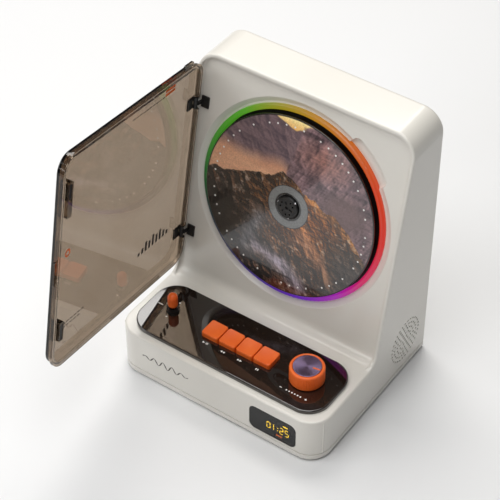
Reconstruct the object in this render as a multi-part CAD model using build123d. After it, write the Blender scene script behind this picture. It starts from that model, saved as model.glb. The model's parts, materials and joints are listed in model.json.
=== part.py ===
from build123d import *
import math
import os

# Desktop disc player: an upright disc tower on a base with a control deck, and a clear door on the left.
# Frame: X to the right, Y to the back, Z up. The origin is the centre of the base pad's underside.
# Tower frame: x to the right, s up the sloping front from the deck, o outwards from the front lip.

# Body
body_width = 151.6
body_depth = 125.5
body_height = 192.3
deck_height = 34.9
tower_setback = 62.1
tower_tilt = 11.45
seam_height = 6.3
seam_groove = 0.6
seam_groove_depth = 0.8
wall = 2.5
front_corner_r = 15.0
top_corner_r = 14.5
back_corner_r = 3.0
edge_r = 1.3
deck_cove_r = 8.0

# Recessed tower face
lip_width = 2.0
face_depth = 3.0
face_wall = 2.6
face_cove_r = 2.4
ring_boss_depth = 9.0
ring_boss_margin = 2.0
ear_share = 0.72

# Disc, its well and the light ring
disc_height = 82.1
disc_r = 60.0
disc_hole_r = 7.5
disc_thickness = 1.2
disc_front = 0.44
ring_gap = 1.2
ring_width = 3.5
ring_front = -2.8
dish_width = 4.6
dish_depth = 2.1
dish_flat = 1.4
notch_reach = 9.1
notch_overlap = 1.7
notch_start = 34.0
notch_end = 60.0
notch_depth = 3.6
notch_corner_r = 4.0
notch_floor_r = 2.0
tray_floor = -6.0
tray_thickness = 2.0
tray_gap = 0.4

# Spindle and hub
hub_seat_r = 13.8
hub_nose_clearance = 0.1
hub_nose_height = 1.5
spindle_r = 1.0
motor_r = 12.5
motor_length = 9.0
lug_r = 0.8

# Laser pickup
lens_rest_r = 24.0
track_margin = 3.0
sled_width = 36.0
sled_length = 16.0
sled_thickness = 7.0
rail_r = 1.5
rail_spacing = 30.0
screw_r = 1.5
screw_offset = 21.0
slot_width = 12.0
lens_barrel_r = 3.6
lens_top = -4.0
sled_motor_r = 4.2
sled_motor_length = 8.0

# Door
door_low = 10.6
door_top_gap = 5.4
door_left_gap = 0.6
door_right_gap = 1.0
door_gap = 0.4
door_corner_r = 12.0
door_flange_width = 2.9
door_flange_thickness = 1.75
door_wall = 1.6
door_depth = 5.6
door_open = 84.4

# Door hinges and catches
hinge_inset = 2.54
hinge_rise = 2.5
hinge_low = 31.9
hinge_top_drop = 30.1
hinge_length = 7.6
knuckle_r = 1.5
hinge_edge_r = 2.6
pin_r = 0.6
leaf_thickness = 1.0
tower_leaf_length = 5.4
door_leaf_length = 7.0
catch_spans = ((31.6, 44.7), (115.7, 138.8))
catch_edge_inset = 4.0
catch_width = 4.6
catch_drop = 5.4
keeper_r = 3.0
tab_span = (72.8, 89.4)
tab_reach = 2.4
top_tab_span = (13.5, 23.7)
top_tab_reach = 3.6

# Control panel
panel_side_inset = 5.4
panel_front_inset = 4.9
panel_depth = 46.5
panel_thickness = 2.5
panel_corner_r = 15.0
panel_ledge_x = 9.4
panel_ledge_y = 6.25
panel_edge_r = 0.8
deck_opening_r = 4.0

# Buttons
button_names = ("previous", "play", "next", "stop")
button_pitch = 12.9
button_spacing = 0.6
button_depth = 12.9
button_inset = 28.15
button_rise = 3.6
button_travel = 1.2
button_gap = 0.3
button_dish_r = 34.0
button_stem_r = 2.0
button_corner_r = 1.6
button_edge_r = 1.1
button_dish_depth = 0.9
button_wall = 1.4
button_roof = 3.2
button_flange = 1.0

# Volume knob
knob_side_inset = 27.5
knob_inset = 29.0
knob_r = 11.0
knob_height = 10.5
knob_lift = 0.5
knob_cap_r = 8.9
knob_socket_wall = 1.6
knob_wall = 2.2
knob_hollow = 5.5
knob_edge_r = 1.2
knob_cap_sink = 0.7
knob_cap_rise = 0.3
knob_roof = 3.0
pointer_length = 4.6
pointer_half = 0.45
pointer_angle = 10.0
pot_half = 8.0
pot_height = 7.0
pot_shaft_r = 3.0
pot_bush_wall = 1.0

# Toggle switch
toggle_side_inset = 23.1
toggle_inset = 29.4
toggle_cap_r = 3.25
toggle_cap_length = 11.6
toggle_rise = 14.1
toggle_rod_r = 1.3
toggle_pivot_rise = 0.5
bush_r = 4.2
bush_bore_r = 2.4
bush_wall = 0.8
bush_rise = 2.0
toggle_half_x = 4.5
toggle_half_y = 6.5
toggle_slot_x = 2.2
toggle_slot_y = 3.4
toggle_socket = 4.0

# Display
window_side_inset = 49.8
window_width = 34.0
window_low = 7.5
window_height = 19.5
window_corner_r = 4.5
window_thickness = 1.8
fit_gap = 0.1

# Speakers
speaker_clearance = 0.2
speaker_z = 28.0
grille_rings = 5
grille_step = 3.1
grille_hole_r = 0.85
speaker_r = 18.5
speaker_depth = 16.0
speaker_rim = 2.2
speaker_flange = 2.5
speaker_magnet_r = 11.0
speaker_magnet_height = 6.2
basket_neck_r = 9.0
basket_sheet = 1.6
voice_coil_r = 3.2
cone_sheet = 0.6
cone_height = 6.5

# Bottom cover, base pad and back cover
cover_floor = 1.2
cover_foot_r = 1.5
pad_recess = 0.8
pad_inset = 16.8
pad_corner_r = 8.0
back_side_inset = 9.8
back_low = 12.0
back_top_inset = 14.3
back_rebate = 1.4
back_step = 4.0
back_rebate_r = 6.0
back_opening_r = 4.0
vent_slots = 7
vent_pitch = 4.0
vent_length = 60.0
vent_width = 1.6
vent_low_drop = 38.0

# Screws and bosses
screw_shank_r = 1.3
screw_head_r = 2.6
screw_head_height = 1.6
recess_reach = 1.5
recess_half = 0.3
recess_depth = 0.9
screw_clearance = 0.05
screw_play = 0.2
head_sink = 0.4
boss_r = 3.4
post_r = 3.0
bottom_screw_inset_x = 8.5
bottom_screw_inset_y = 6.5
bottom_screw_length = 13.0
bottom_boss_height = 13.0
back_screw_inset = 5.0
back_screw_rise = 10.0
back_screw_length = 6.0
lug_depth = 5.8
lug_half = 3.0
tray_screw_length = 6.5
board_screw_length = 8.0
main_board_screw_length = 6.0

# Boards, battery and sockets
board_thickness = 1.6
control_board_drop = 13.3
main_board_top = 12.0
socket_z = 17.0
usb_x = -20.0
jack_x = 12.0
jack_bore_r = 1.8
jack_sleeve_r = 2.9
jack_half = 3.4
usb_width = 9.0
usb_height = 3.2
usb_shell = 0.3
socket_play = 0.2
socket_rise = 4.0
main_board_half = 54.0
main_board_front = -37.0
main_board_back_gap = 10.0
standoff_x = 50.0
standoff_ys = (-32.0, 12.0)
battery_half = 38.0
battery_front = -4.0
battery_back = 34.0
battery_height = 12.0
socket_board_left = -34.0
socket_board_right = 24.0
control_board_front_gap = 15.5
control_board_back_gap = 18.5
board_side_gap = 3.5
display_gap = 1.5
display_board_margin = 4.0

front_y = -body_depth / 2
back_y = body_depth / 2
side_x = body_width / 2
tilt = math.radians(tower_tilt)
slope_length = (body_height - deck_height) / math.cos(tilt)
tower = Plane(
    origin=(0, front_y + tower_setback, deck_height),
    x_dir=(1, 0, 0),
    z_dir=(0, -math.cos(tilt), math.sin(tilt)),
)
disc_plane = tower.location * Pos(0, disc_height, 0)
ring_inner_r = disc_r + ring_gap
ring_outer_r = ring_inner_r + ring_width
dish_r = ring_outer_r + dish_width
notch_outer_r = ring_outer_r + notch_reach
notch_inner_r = ring_outer_r - notch_overlap
panel_width = body_width - 2 * panel_side_inset
panel_top = deck_height + panel_thickness
control_board_top = deck_height - control_board_drop
knob_x = side_x - knob_side_inset
toggle_x = toggle_side_inset - side_x
window_left = side_x - window_side_inset
speaker_y = back_y - wall - lug_depth - speaker_clearance - speaker_r
back_width = body_width - 2 * back_side_inset
back_high = body_height - back_top_inset
low_align = (Align.CENTER, Align.CENTER, Align.MIN)
pilot_r = screw_shank_r + screw_clearance
through_r = screw_shank_r + screw_play
counterbore_r = screw_head_r + screw_play
counterbore_depth = screw_head_height + head_sink

os.makedirs("parts", exist_ok=True)


def save(name, solids):
    """Write one node. A list of solids becomes one group."""
    shape = Compound(children=list(solids)) if isinstance(solids, (list, tuple)) else solids
    export_step(shape, os.path.join("parts", name + ".step"))


def block(x0, x1, y0, y1, z0, z1):
    """A box between two corners."""
    return Pos((x0 + x1) / 2, (y0 + y1) / 2, (z0 + z1) / 2) * Box(x1 - x0, y1 - y0, z1 - z0)


def rod(radius, z0, z1, x=0.0, y=0.0):
    """A cylinder along Z."""
    return Pos(x, y, z0) * Cylinder(radius, z1 - z0, align=low_align)


def tube(outer, inner, z0, z1, x=0.0, y=0.0):
    """A ring along Z."""
    return rod(outer, z0, z1, x, y) - rod(inner, z0, z1, x, y)


def slab(x0, x1, y0, y1, z0, z1, corner):
    """A plate with rounded corners."""
    outline = Pos((x0 + x1) / 2, (y0 + y1) / 2, z0) * RectangleRounded(x1 - x0, y1 - y0, corner)
    return extrude(outline, amount=z1 - z0)


def side_prism(points, half_width):
    """A prism across X from an outline of (y, z) points."""
    outline = make_face(Polyline(*[(0, y, z) for y, z in points], close=True))
    return extrude(outline, amount=half_width, dir=(1, 0, 0), both=True)


def slope_y(z, offset=0.0):
    """Y of the tower's front plane at a height, moved outwards by an offset."""
    return front_y + tower_setback + (z - deck_height) * math.tan(tilt) - offset / math.cos(tilt)


def body_outline(half_width, front, back, low, high, front_offset):
    """The side view of the body, as a prism: base, deck and sloping tower."""
    deck = deck_height - (body_height - high)
    return side_prism(
        [
            (front, low),
            (front, deck),
            (slope_y(deck, front_offset), deck),
            (slope_y(high, front_offset), high),
            (back, high),
            (back, low),
        ],
        half_width,
    )


def screw(length):
    """A pan head screw pointing up from the origin, its head below with a cross recess."""
    body = rod(screw_head_r, -screw_head_height, 0) + rod(screw_shank_r, 0, length)
    for reach_x, reach_y in ((recess_reach, recess_half), (recess_half, recess_reach)):
        body -= block(
            -reach_x, reach_x, -reach_y, reach_y, -screw_head_height - 1, recess_depth - screw_head_height
        )
    return body


# Housing: one moulded shell of base and tower
deck_y = front_y + tower_setback
shell = body_outline(side_x, front_y, back_y, seam_height, body_height, 0)
shell = fillet(shell.edges().filter_by(Axis.Z).group_by(Axis.Y)[0], front_corner_r)
shell = fillet(shell.edges().filter_by(Axis.Y).group_by(Axis.Z)[-1], top_corner_r)
cove = [
    e
    for e in shell.edges().filter_by(Axis.X)
    if abs(e.center().Z - deck_height) < 0.01 and abs(e.center().Y - deck_y) < 0.01
]
shell = fillet(cove, deck_cove_r)
back_rim = [
    e
    for e in shell.faces().filter_by(Axis.Y).sort_by(Axis.Y)[-1].edges()
    if e.center().Z > seam_height + 1
]
shell = fillet(back_rim, back_corner_r)
front_rim = [
    e
    for f in shell.faces()
    if f.normal_at(f.center()).Z > 0.99 and abs(f.center().Z - deck_height) < 0.01
    for e in f.edges()
    if e.center().Y < deck_y - deck_cove_r
]
lip_face = [
    f
    for f in shell.faces()
    if f.normal_at(f.center()).Y < -0.9 and f.center().Z > body_height / 2
][0]
front_rim += [e for e in lip_face.edges() if e.center().Z > deck_height + deck_cove_r]
cove_face = [
    f
    for f in shell.faces().filter_by(GeomType.CYLINDER)
    if abs(f.center().X) < 1 and deck_height < f.center().Z < deck_height + deck_cove_r
][0]
front_rim += [e for e in cove_face.edges() if abs(e.center().X) > side_x - 0.1]
shell = fillet(front_rim, edge_r)

inner_x = side_x - wall
inner_top = body_height - wall
cavity = body_outline(inner_x, front_y + wall, back_y - wall, 0, inner_top, -(face_depth + face_wall))
cavity = fillet(cavity.edges().filter_by(Axis.Z).group_by(Axis.Y)[0], front_corner_r - wall)
cavity = fillet(cavity.edges().filter_by(Axis.Y).group_by(Axis.Z)[-1], top_corner_r - wall)
shell -= cavity

# Thick ring behind the tower face, which carries the light ring and the disc tray
boss_outer_r = notch_outer_r + ring_boss_margin
behind_face = tower.location * block(-inner_x, inner_x, -40, slope_length + 20, -ring_boss_depth, -face_depth)
ring_boss = disc_plane * tube(boss_outer_r, ring_outer_r, -ring_boss_depth, -face_depth - 0.1)
shell += ring_boss & behind_face & body_outline(
    inner_x, front_y + wall, back_y - wall, seam_height, inner_top, 0
)

# Tray screw bosses behind the tower face
tray_ear = boss_outer_r * ear_share
ear_spots = [(sx * tray_ear, sy * tray_ear) for sx in (-1, 1) for sy in (-1, 1)]
tray_back = -ring_boss_depth - board_thickness - tray_thickness
for ex, ey in ear_spots:
    shell += disc_plane * rod(boss_r, -ring_boss_depth - board_thickness, -face_depth - 0.1, ex, ey)
    shell -= disc_plane * rod(
        pilot_r, -ring_boss_depth - board_thickness, -face_depth - 1.5, ex, ey
    )

# Recessed tower face with a cove all round
face_half = side_x - lip_width
face_cut = tower.location * block(
    -face_half, face_half, -60, slope_length - lip_width, -face_depth, 60
)
face_cut &= block(-200, 200, -200, 200, deck_height, 400)
corner_edges = [
    e
    for e in face_cut.edges()
    if abs(abs((tower.to_local_coords(e.center())).X) - face_half) < 0.01
    and abs(tower.to_local_coords(e.center()).Y - slope_length + lip_width) < 0.01
]
face_cut = fillet(corner_edges, top_corner_r - lip_width)
floor_bottom = [
    e
    for e in face_cut.edges().filter_by(Axis.X)
    if abs(tower.to_local_coords(e.center()).Z + face_depth) < 0.01 and e.center().Z < deck_height + 0.01
]
face_cut = fillet(floor_bottom, deck_cove_r)
floor_face = [
    f
    for f in face_cut.faces()
    if abs(tower.to_local_coords(f.center()).Z + face_depth) < 0.01 and f.center().Z > body_height / 3
][0]
floor_rim = [
    e
    for e in floor_face.edges()
    if abs(tower.to_local_coords(e.center()).Y) > deck_cove_r + 2
]
bottom_cove = [
    f
    for f in face_cut.faces().filter_by(GeomType.CYLINDER)
    if abs(f.center().X) < 1 and f.center().Z < deck_height + deck_cove_r
][0]
floor_rim += [e for e in bottom_cove.edges() if abs(e.center().X) > face_half - 0.1]
face_cut = fillet(floor_rim, face_cove_r)
shell -= face_cut

# Dish, well and finger notch in the tower face
dish_floor = -face_depth - dish_depth
dish_profile = make_face(
    Polyline(
        (0, 0, dish_floor),
        (ring_outer_r + dish_flat, 0, dish_floor),
        (dish_r, 0, -face_depth),
        (dish_r, 0, 5),
        (0, 0, 5),
        close=True,
    )
)
dish = revolve(dish_profile, axis=Axis.Z)
shell -= disc_plane * dish
shell -= disc_plane * rod(ring_outer_r + fit_gap, -ring_boss_depth - 5, 1)


def notch_point(radius, angle):
    """A point of the finger notch, from the disc's centre."""
    turn = math.radians(angle)
    return (radius * math.cos(turn), radius * math.sin(turn))


notch_mid = (notch_start + notch_end) / 2
notch_outline = make_face(
    Curve()
    + [
        Line(notch_point(notch_inner_r, notch_start - 2), notch_point(notch_outer_r - 0.5, notch_start)),
        ThreePointArc(
            notch_point(notch_outer_r - 0.5, notch_start),
            notch_point(notch_outer_r, notch_mid),
            notch_point(notch_outer_r - 0.5, notch_end),
        ),
        Line(notch_point(notch_outer_r - 0.5, notch_end), notch_point(notch_inner_r, notch_end + 2)),
        Line(notch_point(notch_inner_r, notch_end + 2), notch_point(notch_inner_r, notch_start - 2)),
    ]
)
notch = extrude(Pos(0, 0, -face_depth - notch_depth) * notch_outline, amount=notch_depth + 6)
notch_corners = [
    e
    for e in notch.edges().filter_by(Axis.Z)
    if math.hypot(e.center().X, e.center().Y) > notch_outer_r - 1.5
]
notch = fillet(notch_corners, notch_corner_r)
notch_floor_rim = [
    e
    for e in notch.faces().sort_by(Axis.Z)[0].edges()
    if math.hypot(e.center().X, e.center().Y) > notch_inner_r + 1
]
notch = fillet(notch_floor_rim, notch_floor_r)
shell -= disc_plane * notch

# Openings in the deck, the front and the sides
panel_front = front_y + panel_front_inset
panel_mid = panel_front + panel_depth / 2
opening_x = panel_width - 2 * panel_ledge_x
opening_y = panel_depth - 2 * panel_ledge_y
shell -= slab(
    -opening_x / 2,
    opening_x / 2,
    panel_mid - opening_y / 2,
    panel_mid + opening_y / 2,
    deck_height - wall - 1,
    deck_height + 1,
    deck_opening_r,
)
window_mid_x = window_left + window_width / 2
window_mid_z = window_low + window_height / 2
window_hole = Pos(window_mid_x, front_y, window_mid_z) * extrude(
    Plane.XZ * RectangleRounded(window_width, window_height, window_corner_r), amount=5, both=True
)
shell -= window_hole
grille_holes = []
for ring in range(grille_rings + 1):
    count = max(1, 6 * ring)
    for hole in range(count):
        turn = 2 * math.pi * hole / count
        hole_y = speaker_y + ring * grille_step * math.cos(turn)
        hole_z = speaker_z + ring * grille_step * math.sin(turn)
        for side in (-1, 1):
            centre = Pos(side * (side_x - wall / 2), hole_y, hole_z)
            grille_holes.append(centre * Rot(0, 90, 0) * Cylinder(grille_hole_r, wall + 2))
shell -= grille_holes

# Opening for the back cover
back_mid_z = (back_low + back_high) / 2
back_height = back_high - back_low


def back_plate(width, height, y0, y1, corner):
    """A plate with rounded corners standing in the back wall."""
    outline = Plane.XZ * RectangleRounded(width, height, corner)
    return Pos(0, y0, back_mid_z) * extrude(outline, amount=-(y1 - y0))


shell -= back_plate(back_width, back_height, back_y - back_rebate, back_y + 1, back_rebate_r)
shell -= back_plate(
    back_width - 2 * back_step, back_height - 2 * back_step, back_y - wall - 1, back_y, back_opening_r
)

# Screw bosses of the bottom cover and the back cover
bottom_screw_x = inner_x - bottom_screw_inset_x
bottom_screw_y = back_y - wall - bottom_screw_inset_y
bottom_spots = [(sx * bottom_screw_x, sy * bottom_screw_y) for sx in (-1, 1) for sy in (-1, 1)]
for bx, by in bottom_spots:
    top = deck_height - wall / 2 if by < 0 else seam_height + bottom_boss_height
    post = rod(boss_r, seam_height, top, bx, by)
    rib_x = math.copysign(side_x - wall / 2, bx)
    rib = block(min(bx, rib_x), max(bx, rib_x), by - 1, by + 1, seam_height, top)
    shell += post + rib
    shell -= rod(pilot_r, seam_height - 1, seam_height + bottom_boss_height - 1, bx, by)
back_screw_x = back_width / 2 - back_step - back_screw_inset
back_screw_zs = (back_low + back_screw_rise, back_high - back_screw_rise)
back_spots = [(sx * back_screw_x, z) for sx in (-1, 1) for z in back_screw_zs]
lug_front = back_y - wall - lug_depth
for bx, bz in back_spots:
    outer = math.copysign(side_x - wall / 2, bx)
    lug = block(
        min(bx, outer), max(bx, outer), lug_front, back_y - wall, bz - lug_half, bz + lug_half
    )
    lug += Pos(bx, back_y - wall, bz) * Rot(90, 0, 0) * Cylinder(boss_r, lug_depth, align=low_align)
    shell += lug
    shell -= Pos(bx, back_y, bz) * Rot(90, 0, 0) * Cylinder(
        pilot_r, lug_depth + wall - 1, align=low_align
    )

# Posts under the deck for the control board
board_half_x = inner_x - board_side_gap
board_front = panel_mid - control_board_front_gap
board_back = panel_mid + control_board_back_gap
board_spots = [(sx * (board_half_x - 4), y) for sx in (-1, 1) for y in (board_front + 5, board_back - 5)]
for bx, by in board_spots:
    shell += rod(post_r, control_board_top, deck_height - wall / 2, bx, by)
    shell -= rod(pilot_r, control_board_top - 1, deck_height - wall - 1, bx, by)
save("housing", shell)

# Bottom cover and base pad
cover = body_outline(side_x, front_y, back_y, cover_floor, body_height, 0)
cover &= block(-200, 200, -200, 200, cover_floor, seam_height)
cover = fillet(cover.edges().filter_by(Axis.Z).group_by(Axis.Y)[0], front_corner_r)
cover = fillet(cover.edges().filter_by(Axis.Z).group_by(Axis.Y)[-1], back_corner_r)
cover = fillet(cover.faces().sort_by(Axis.Z)[0].edges(), cover_foot_r)
cover_top = cover.faces().sort_by(Axis.Z)[-1]
seam_land = offset(cover_top, -seam_groove_depth)
cover -= extrude(cover_top, amount=-seam_groove) - extrude(seam_land, amount=-seam_groove)
cover -= slab(
    -inner_x, inner_x, front_y + wall, back_y - wall, cover_floor + wall, seam_height, front_corner_r - wall
)
for bx, by in bottom_spots:
    cover += rod(boss_r, cover_floor + 1, seam_height, bx, by)
    cover -= rod(through_r, cover_floor - 1, seam_height + 1, bx, by)
    cover -= rod(counterbore_r, cover_floor - 1, cover_floor + counterbore_depth, bx, by)
pad_x = side_x - pad_inset
pad_y = back_y - pad_inset
cover -= slab(-pad_x, pad_x, -pad_y, pad_y, cover_floor - 1, cover_floor + pad_recess, pad_corner_r)
standoff_spots = [(sx * standoff_x, y) for sx in (-1, 1) for y in standoff_ys]
for bx, by in standoff_spots:
    cover += rod(boss_r, cover_floor + wall - 0.1, main_board_top - board_thickness, bx, by)
    cover -= rod(pilot_r, cover_floor + wall + 0.8, main_board_top, bx, by)
save("bottom_cover", cover)
save(
    "base_pad",
    slab(
        -pad_x + fit_gap,
        pad_x - fit_gap,
        -pad_y + fit_gap,
        pad_y - fit_gap,
        0,
        cover_floor + pad_recess,
        pad_corner_r - fit_gap,
    ),
)
screw_seat = cover_floor + counterbore_depth
save("bottom_screws", [Pos(bx, by, screw_seat) * screw(bottom_screw_length) for bx, by in bottom_spots])

# Back cover with vent slots and the two sockets' openings
back_cover = back_plate(
    back_width - 2 * fit_gap, back_height - 2 * fit_gap, back_y - back_rebate, back_y, back_rebate_r - fit_gap
)
back_cover += back_plate(
    back_width - 2 * back_step - 2 * fit_gap,
    back_height - 2 * back_step - 2 * fit_gap,
    back_y - wall,
    back_y - back_rebate,
    back_opening_r - fit_gap,
)
for bx, bz in back_spots:
    back_cover -= Pos(bx, back_y + 1, bz) * Rot(90, 0, 0) * Cylinder(
        through_r, wall + 3, align=low_align
    )
    back_cover -= Pos(bx, back_y + 1, bz) * Rot(90, 0, 0) * Cylinder(
        counterbore_r, counterbore_depth, align=low_align
    )
for row in range(vent_slots):
    back_cover -= Pos(0, back_y, back_high - vent_low_drop + vent_pitch * row) * extrude(
        Plane.XZ * SlotOverall(vent_length, vent_width), amount=wall + 2, both=True
    )
usb_outline = Plane.XZ * SlotOverall(usb_width + 2 * socket_play, usb_height + 2 * socket_play)
back_cover -= Pos(usb_x, back_y, socket_z + socket_rise) * extrude(usb_outline, amount=wall + 2, both=True)
back_cover -= Pos(jack_x, back_y + 1, socket_z + socket_rise) * Rot(90, 0, 0) * Cylinder(
    jack_sleeve_r + socket_play, wall + 3, align=low_align
)
save("back_cover", back_cover)
head_seat = back_y - screw_head_height + 0.6
save(
    "back_screws",
    [Pos(bx, head_seat, bz) * Rot(90, 0, 0) * screw(back_screw_length) for bx, bz in back_spots],
)

# Light ring and its board
ring_foot = -ring_boss_depth
light_ring = tube(ring_outer_r, ring_inner_r, ring_foot, ring_front)
light_ring = fillet(light_ring.faces().sort_by(Axis.Z)[-1].edges(), 1.1)
save("light_ring", disc_plane * light_ring)
board_inner_r = ring_inner_r - 0.2
board_outer_r = boss_outer_r - 3.2
save("light_board", disc_plane * tube(board_outer_r, board_inner_r, ring_foot - board_thickness, ring_foot))

# Disc tray: the dark floor of the well, which carries the drive
tray_top = tray_floor
tray = rod(board_outer_r, tray_back, tray_back + tray_thickness)
tray += rod(ring_inner_r - tray_gap, tray_back, tray_top)
tray -= rod(ring_inner_r - tray_gap - tray_thickness, tray_back - 1, tray_top - tray_thickness)
for ex, ey in ear_spots:
    arm = Rot(0, 0, math.degrees(math.atan2(ey, ex))) * block(
        board_outer_r - 4, math.hypot(ex, ey), -4, 4, tray_back, tray_back + tray_thickness
    )
    tray += arm + rod(4, tray_back, tray_back + tray_thickness, ex, ey)
    tray -= rod(through_r, tray_back - 1, tray_back + tray_thickness + 1, ex, ey)
slot_end = disc_r - track_margin
tray -= slab(
    -slot_width / 2, slot_width / 2, -slot_end - 4, -lens_rest_r + 6.5, tray_back - 1, tray_top + 1, 5.9
)
tray -= rod(spindle_r + 1.0, tray_back - 1, tray_top + 1)
sled_top = tray_back - 0.4
rail_centre = sled_top - sled_thickness / 2
rail_high = -lens_rest_r + sled_length / 2 + 2.5
rail_low = -slot_end - sled_length / 2 - 2.5
post_half = 1.0
post_low = rail_centre - 2.6
rail_xs = (-rail_spacing / 2, rail_spacing / 2)
for x in rail_xs:
    tray += block(x - 2.6, x + 2.6, rail_high - post_half, rail_high + post_half, post_low, tray_top - 1)
for x in rail_xs + (screw_offset,):
    tray += block(x - 2.6, x + 2.6, rail_low - post_half, rail_low + post_half, post_low, tray_back + 0.5)
drive_bores = [(x, rail_r + screw_clearance) for x in rail_xs] + [(screw_offset, screw_r + screw_clearance)]
for x, bore_r in drive_bores:
    bore = Cylinder(bore_r, rail_high - rail_low + 4 * post_half, align=low_align)
    tray -= Pos(x, rail_high + 2 * post_half, rail_centre) * Rot(90, 0, 0) * bore
save("disc_tray", disc_plane * tray)
save(
    "tray_screws",
    [disc_plane * Pos(ex, ey, tray_back) * screw(tray_screw_length) for ex, ey in ear_spots],
)

# Spindle motor, shaft, hub and the balls that grip the disc
motor_top = tray_top - tray_thickness
spindle_motor = rod(motor_r, motor_top - motor_length, motor_top)
spindle_motor = fillet(spindle_motor.edges(), 0.8)
spindle_motor -= rod(spindle_r + 0.3, motor_top - 6.5, motor_top + 1)
save("spindle_motor", disc_plane * spindle_motor)
disc_back = disc_front - disc_thickness
hub_top = disc_front + hub_nose_height
shaft_low = motor_top - 6
save("spindle_shaft", disc_plane * rod(spindle_r, shaft_low, hub_top - 1.2))
nose_r = disc_hole_r - hub_nose_clearance
hub = rod(hub_seat_r, disc_back - 2.2, disc_back) + rod(nose_r, disc_back - 1, hub_top)
hub += rod(4, disc_back - 4.0, disc_back - 2)
hub = fillet(hub.faces().sort_by(Axis.Z)[-1].edges(), 0.8)
hub -= rod(spindle_r, disc_back - 5, hub_top - 1.2)
hub -= rod(1.1, hub_top - 1.0, hub_top + 1)
lug_ring_r = nose_r - 0.4
lug_height = disc_front + lug_r * 0.85
lug_turns = (45, 165, 285)
lugs = []
for turn in lug_turns:
    x, y = lug_ring_r * math.cos(math.radians(turn)), lug_ring_r * math.sin(math.radians(turn))
    lugs.append(Pos(x, y, lug_height) * Sphere(lug_r))
    hub -= Pos(x, y, lug_height) * Sphere(lug_r + 0.05)
    for spread in (-17, 17):
        a = math.radians(turn + spread)
        hub -= rod(0.62, hub_top - 1.2, hub_top + 1, 4.6 * math.cos(a), 4.6 * math.sin(a))
    slot = Pos(3.0, 0, hub_top - 0.6) * extrude(SlotOverall(2.6, 0.9), amount=2)
    hub -= Rot(0, 0, turn + 60) * slot
save("disc_hub", disc_plane * hub)
save("hub_balls", [disc_plane * lug for lug in lugs])
disc = tube(disc_r, disc_hole_r, disc_back, disc_front)
save("disc", disc_plane * disc)

# Laser sled on two rails, driven by a lead screw
sled_y = -lens_rest_r
sled_low = sled_top - sled_thickness
sled = block(
    -sled_width / 2, sled_width / 2, sled_y - sled_length / 2, sled_y + sled_length / 2, sled_low, sled_top
)
sled += block(sled_width / 2 - 1, screw_offset + 3, sled_y - 3, sled_y + 3, sled_low, sled_top)
sled -= rod(lens_barrel_r, sled_top - 3, sled_top + 1, 0, sled_y)
for x, bore_r in drive_bores:
    sled -= Pos(x, sled_y + sled_length, rail_centre) * Rot(90, 0, 0) * Cylinder(
        bore_r, 2 * sled_length, align=low_align
    )
save("laser_sled", disc_plane * sled)
barrel_top = lens_top - 1.2
lens = rod(lens_barrel_r, sled_top - 3, barrel_top, 0, sled_y)
dome_r = 4.0
lens += Pos(0, sled_y, lens_top - dome_r) * (Sphere(dome_r) & block(-5, 5, -5, 5, dome_r - 1.4, dome_r + 1))
save("laser_lens", disc_plane * lens)
rail_start = rail_high + post_half
drive_length = rail_high - rail_low + 2 * post_half
save(
    "sled_rails",
    [
        disc_plane
        * Pos(x, rail_start, rail_centre)
        * Rot(90, 0, 0)
        * Cylinder(rail_r, drive_length, align=low_align)
        for x in rail_xs
    ],
)
screw_start = rail_start + 3.0
save(
    "lead_screw",
    disc_plane
    * Pos(screw_offset, screw_start, rail_centre)
    * Rot(90, 0, 0)
    * Cylinder(screw_r, drive_length + 3.0, align=low_align),
)
motor_y = rail_start + 0.3
sled_motor = Pos(screw_offset, motor_y + sled_motor_length, rail_centre) * Rot(90, 0, 0) * Cylinder(
    sled_motor_r, sled_motor_length, align=low_align
)
sled_motor += block(
    screw_offset - 2,
    screw_offset + 2,
    motor_y + 1,
    motor_y + sled_motor_length - 1,
    rail_centre,
    tray_top - tray_thickness,
)
sled_motor -= Pos(screw_offset, screw_start + 0.4, rail_centre) * Rot(90, 0, 0) * Cylinder(
    screw_r + screw_clearance, 8.0, align=low_align
)
save("sled_motor", disc_plane * sled_motor)

# Door, drawn closed and then turned about its hinge to the open rest position
door_left_edge = door_left_gap - side_x
door_right = side_x - door_right_gap
door_high = slope_length - door_top_gap
hinge_heights = (hinge_low, door_high - hinge_top_drop)
hinge_x = door_left_edge + hinge_inset
hinge_pivot = tower.location * Pos(hinge_x, 0, hinge_rise)
swing = hinge_pivot * Rot(0, -door_open, 0) * Pos(-hinge_x, 0, -hinge_rise)


def door_slab(inset, z0, z1):
    """A plate with the door's outline, moved in by an inset."""
    corner = door_corner_r - inset
    return slab(
        door_left_edge + inset, door_right - inset, door_low + inset, door_high - inset, z0, z1, corner
    )


door_floor = door_gap + door_depth - door_wall
door = door_slab(0, door_gap, door_gap + door_flange_thickness)
door += door_slab(door_flange_width - door_wall, door_gap, door_gap + door_depth)
door = fillet(door.faces().sort_by(Axis.Z)[-1].edges(), 0.9)
door -= door_slab(door_flange_width, door_gap - 1, door_floor)
notch_half = hinge_length / 2 + 0.4
for height in hinge_heights:
    door -= block(
        door_left_edge - 1,
        hinge_x + knuckle_r + 0.6,
        height - notch_half,
        height + notch_half,
        door_gap - 1,
        door_floor,
    )
hinge_edge = block(door_left_edge - 1, hinge_x, door_low - 1, door_high + 1, door_gap - 1, hinge_rise)
hinge_edge -= Pos(hinge_x, door_high + 1, hinge_rise) * Rot(90, 0, 0) * Cylinder(
    hinge_edge_r, door_high - door_low + 2, align=low_align
)
door -= hinge_edge
save("door_panel", swing * door)

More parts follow.
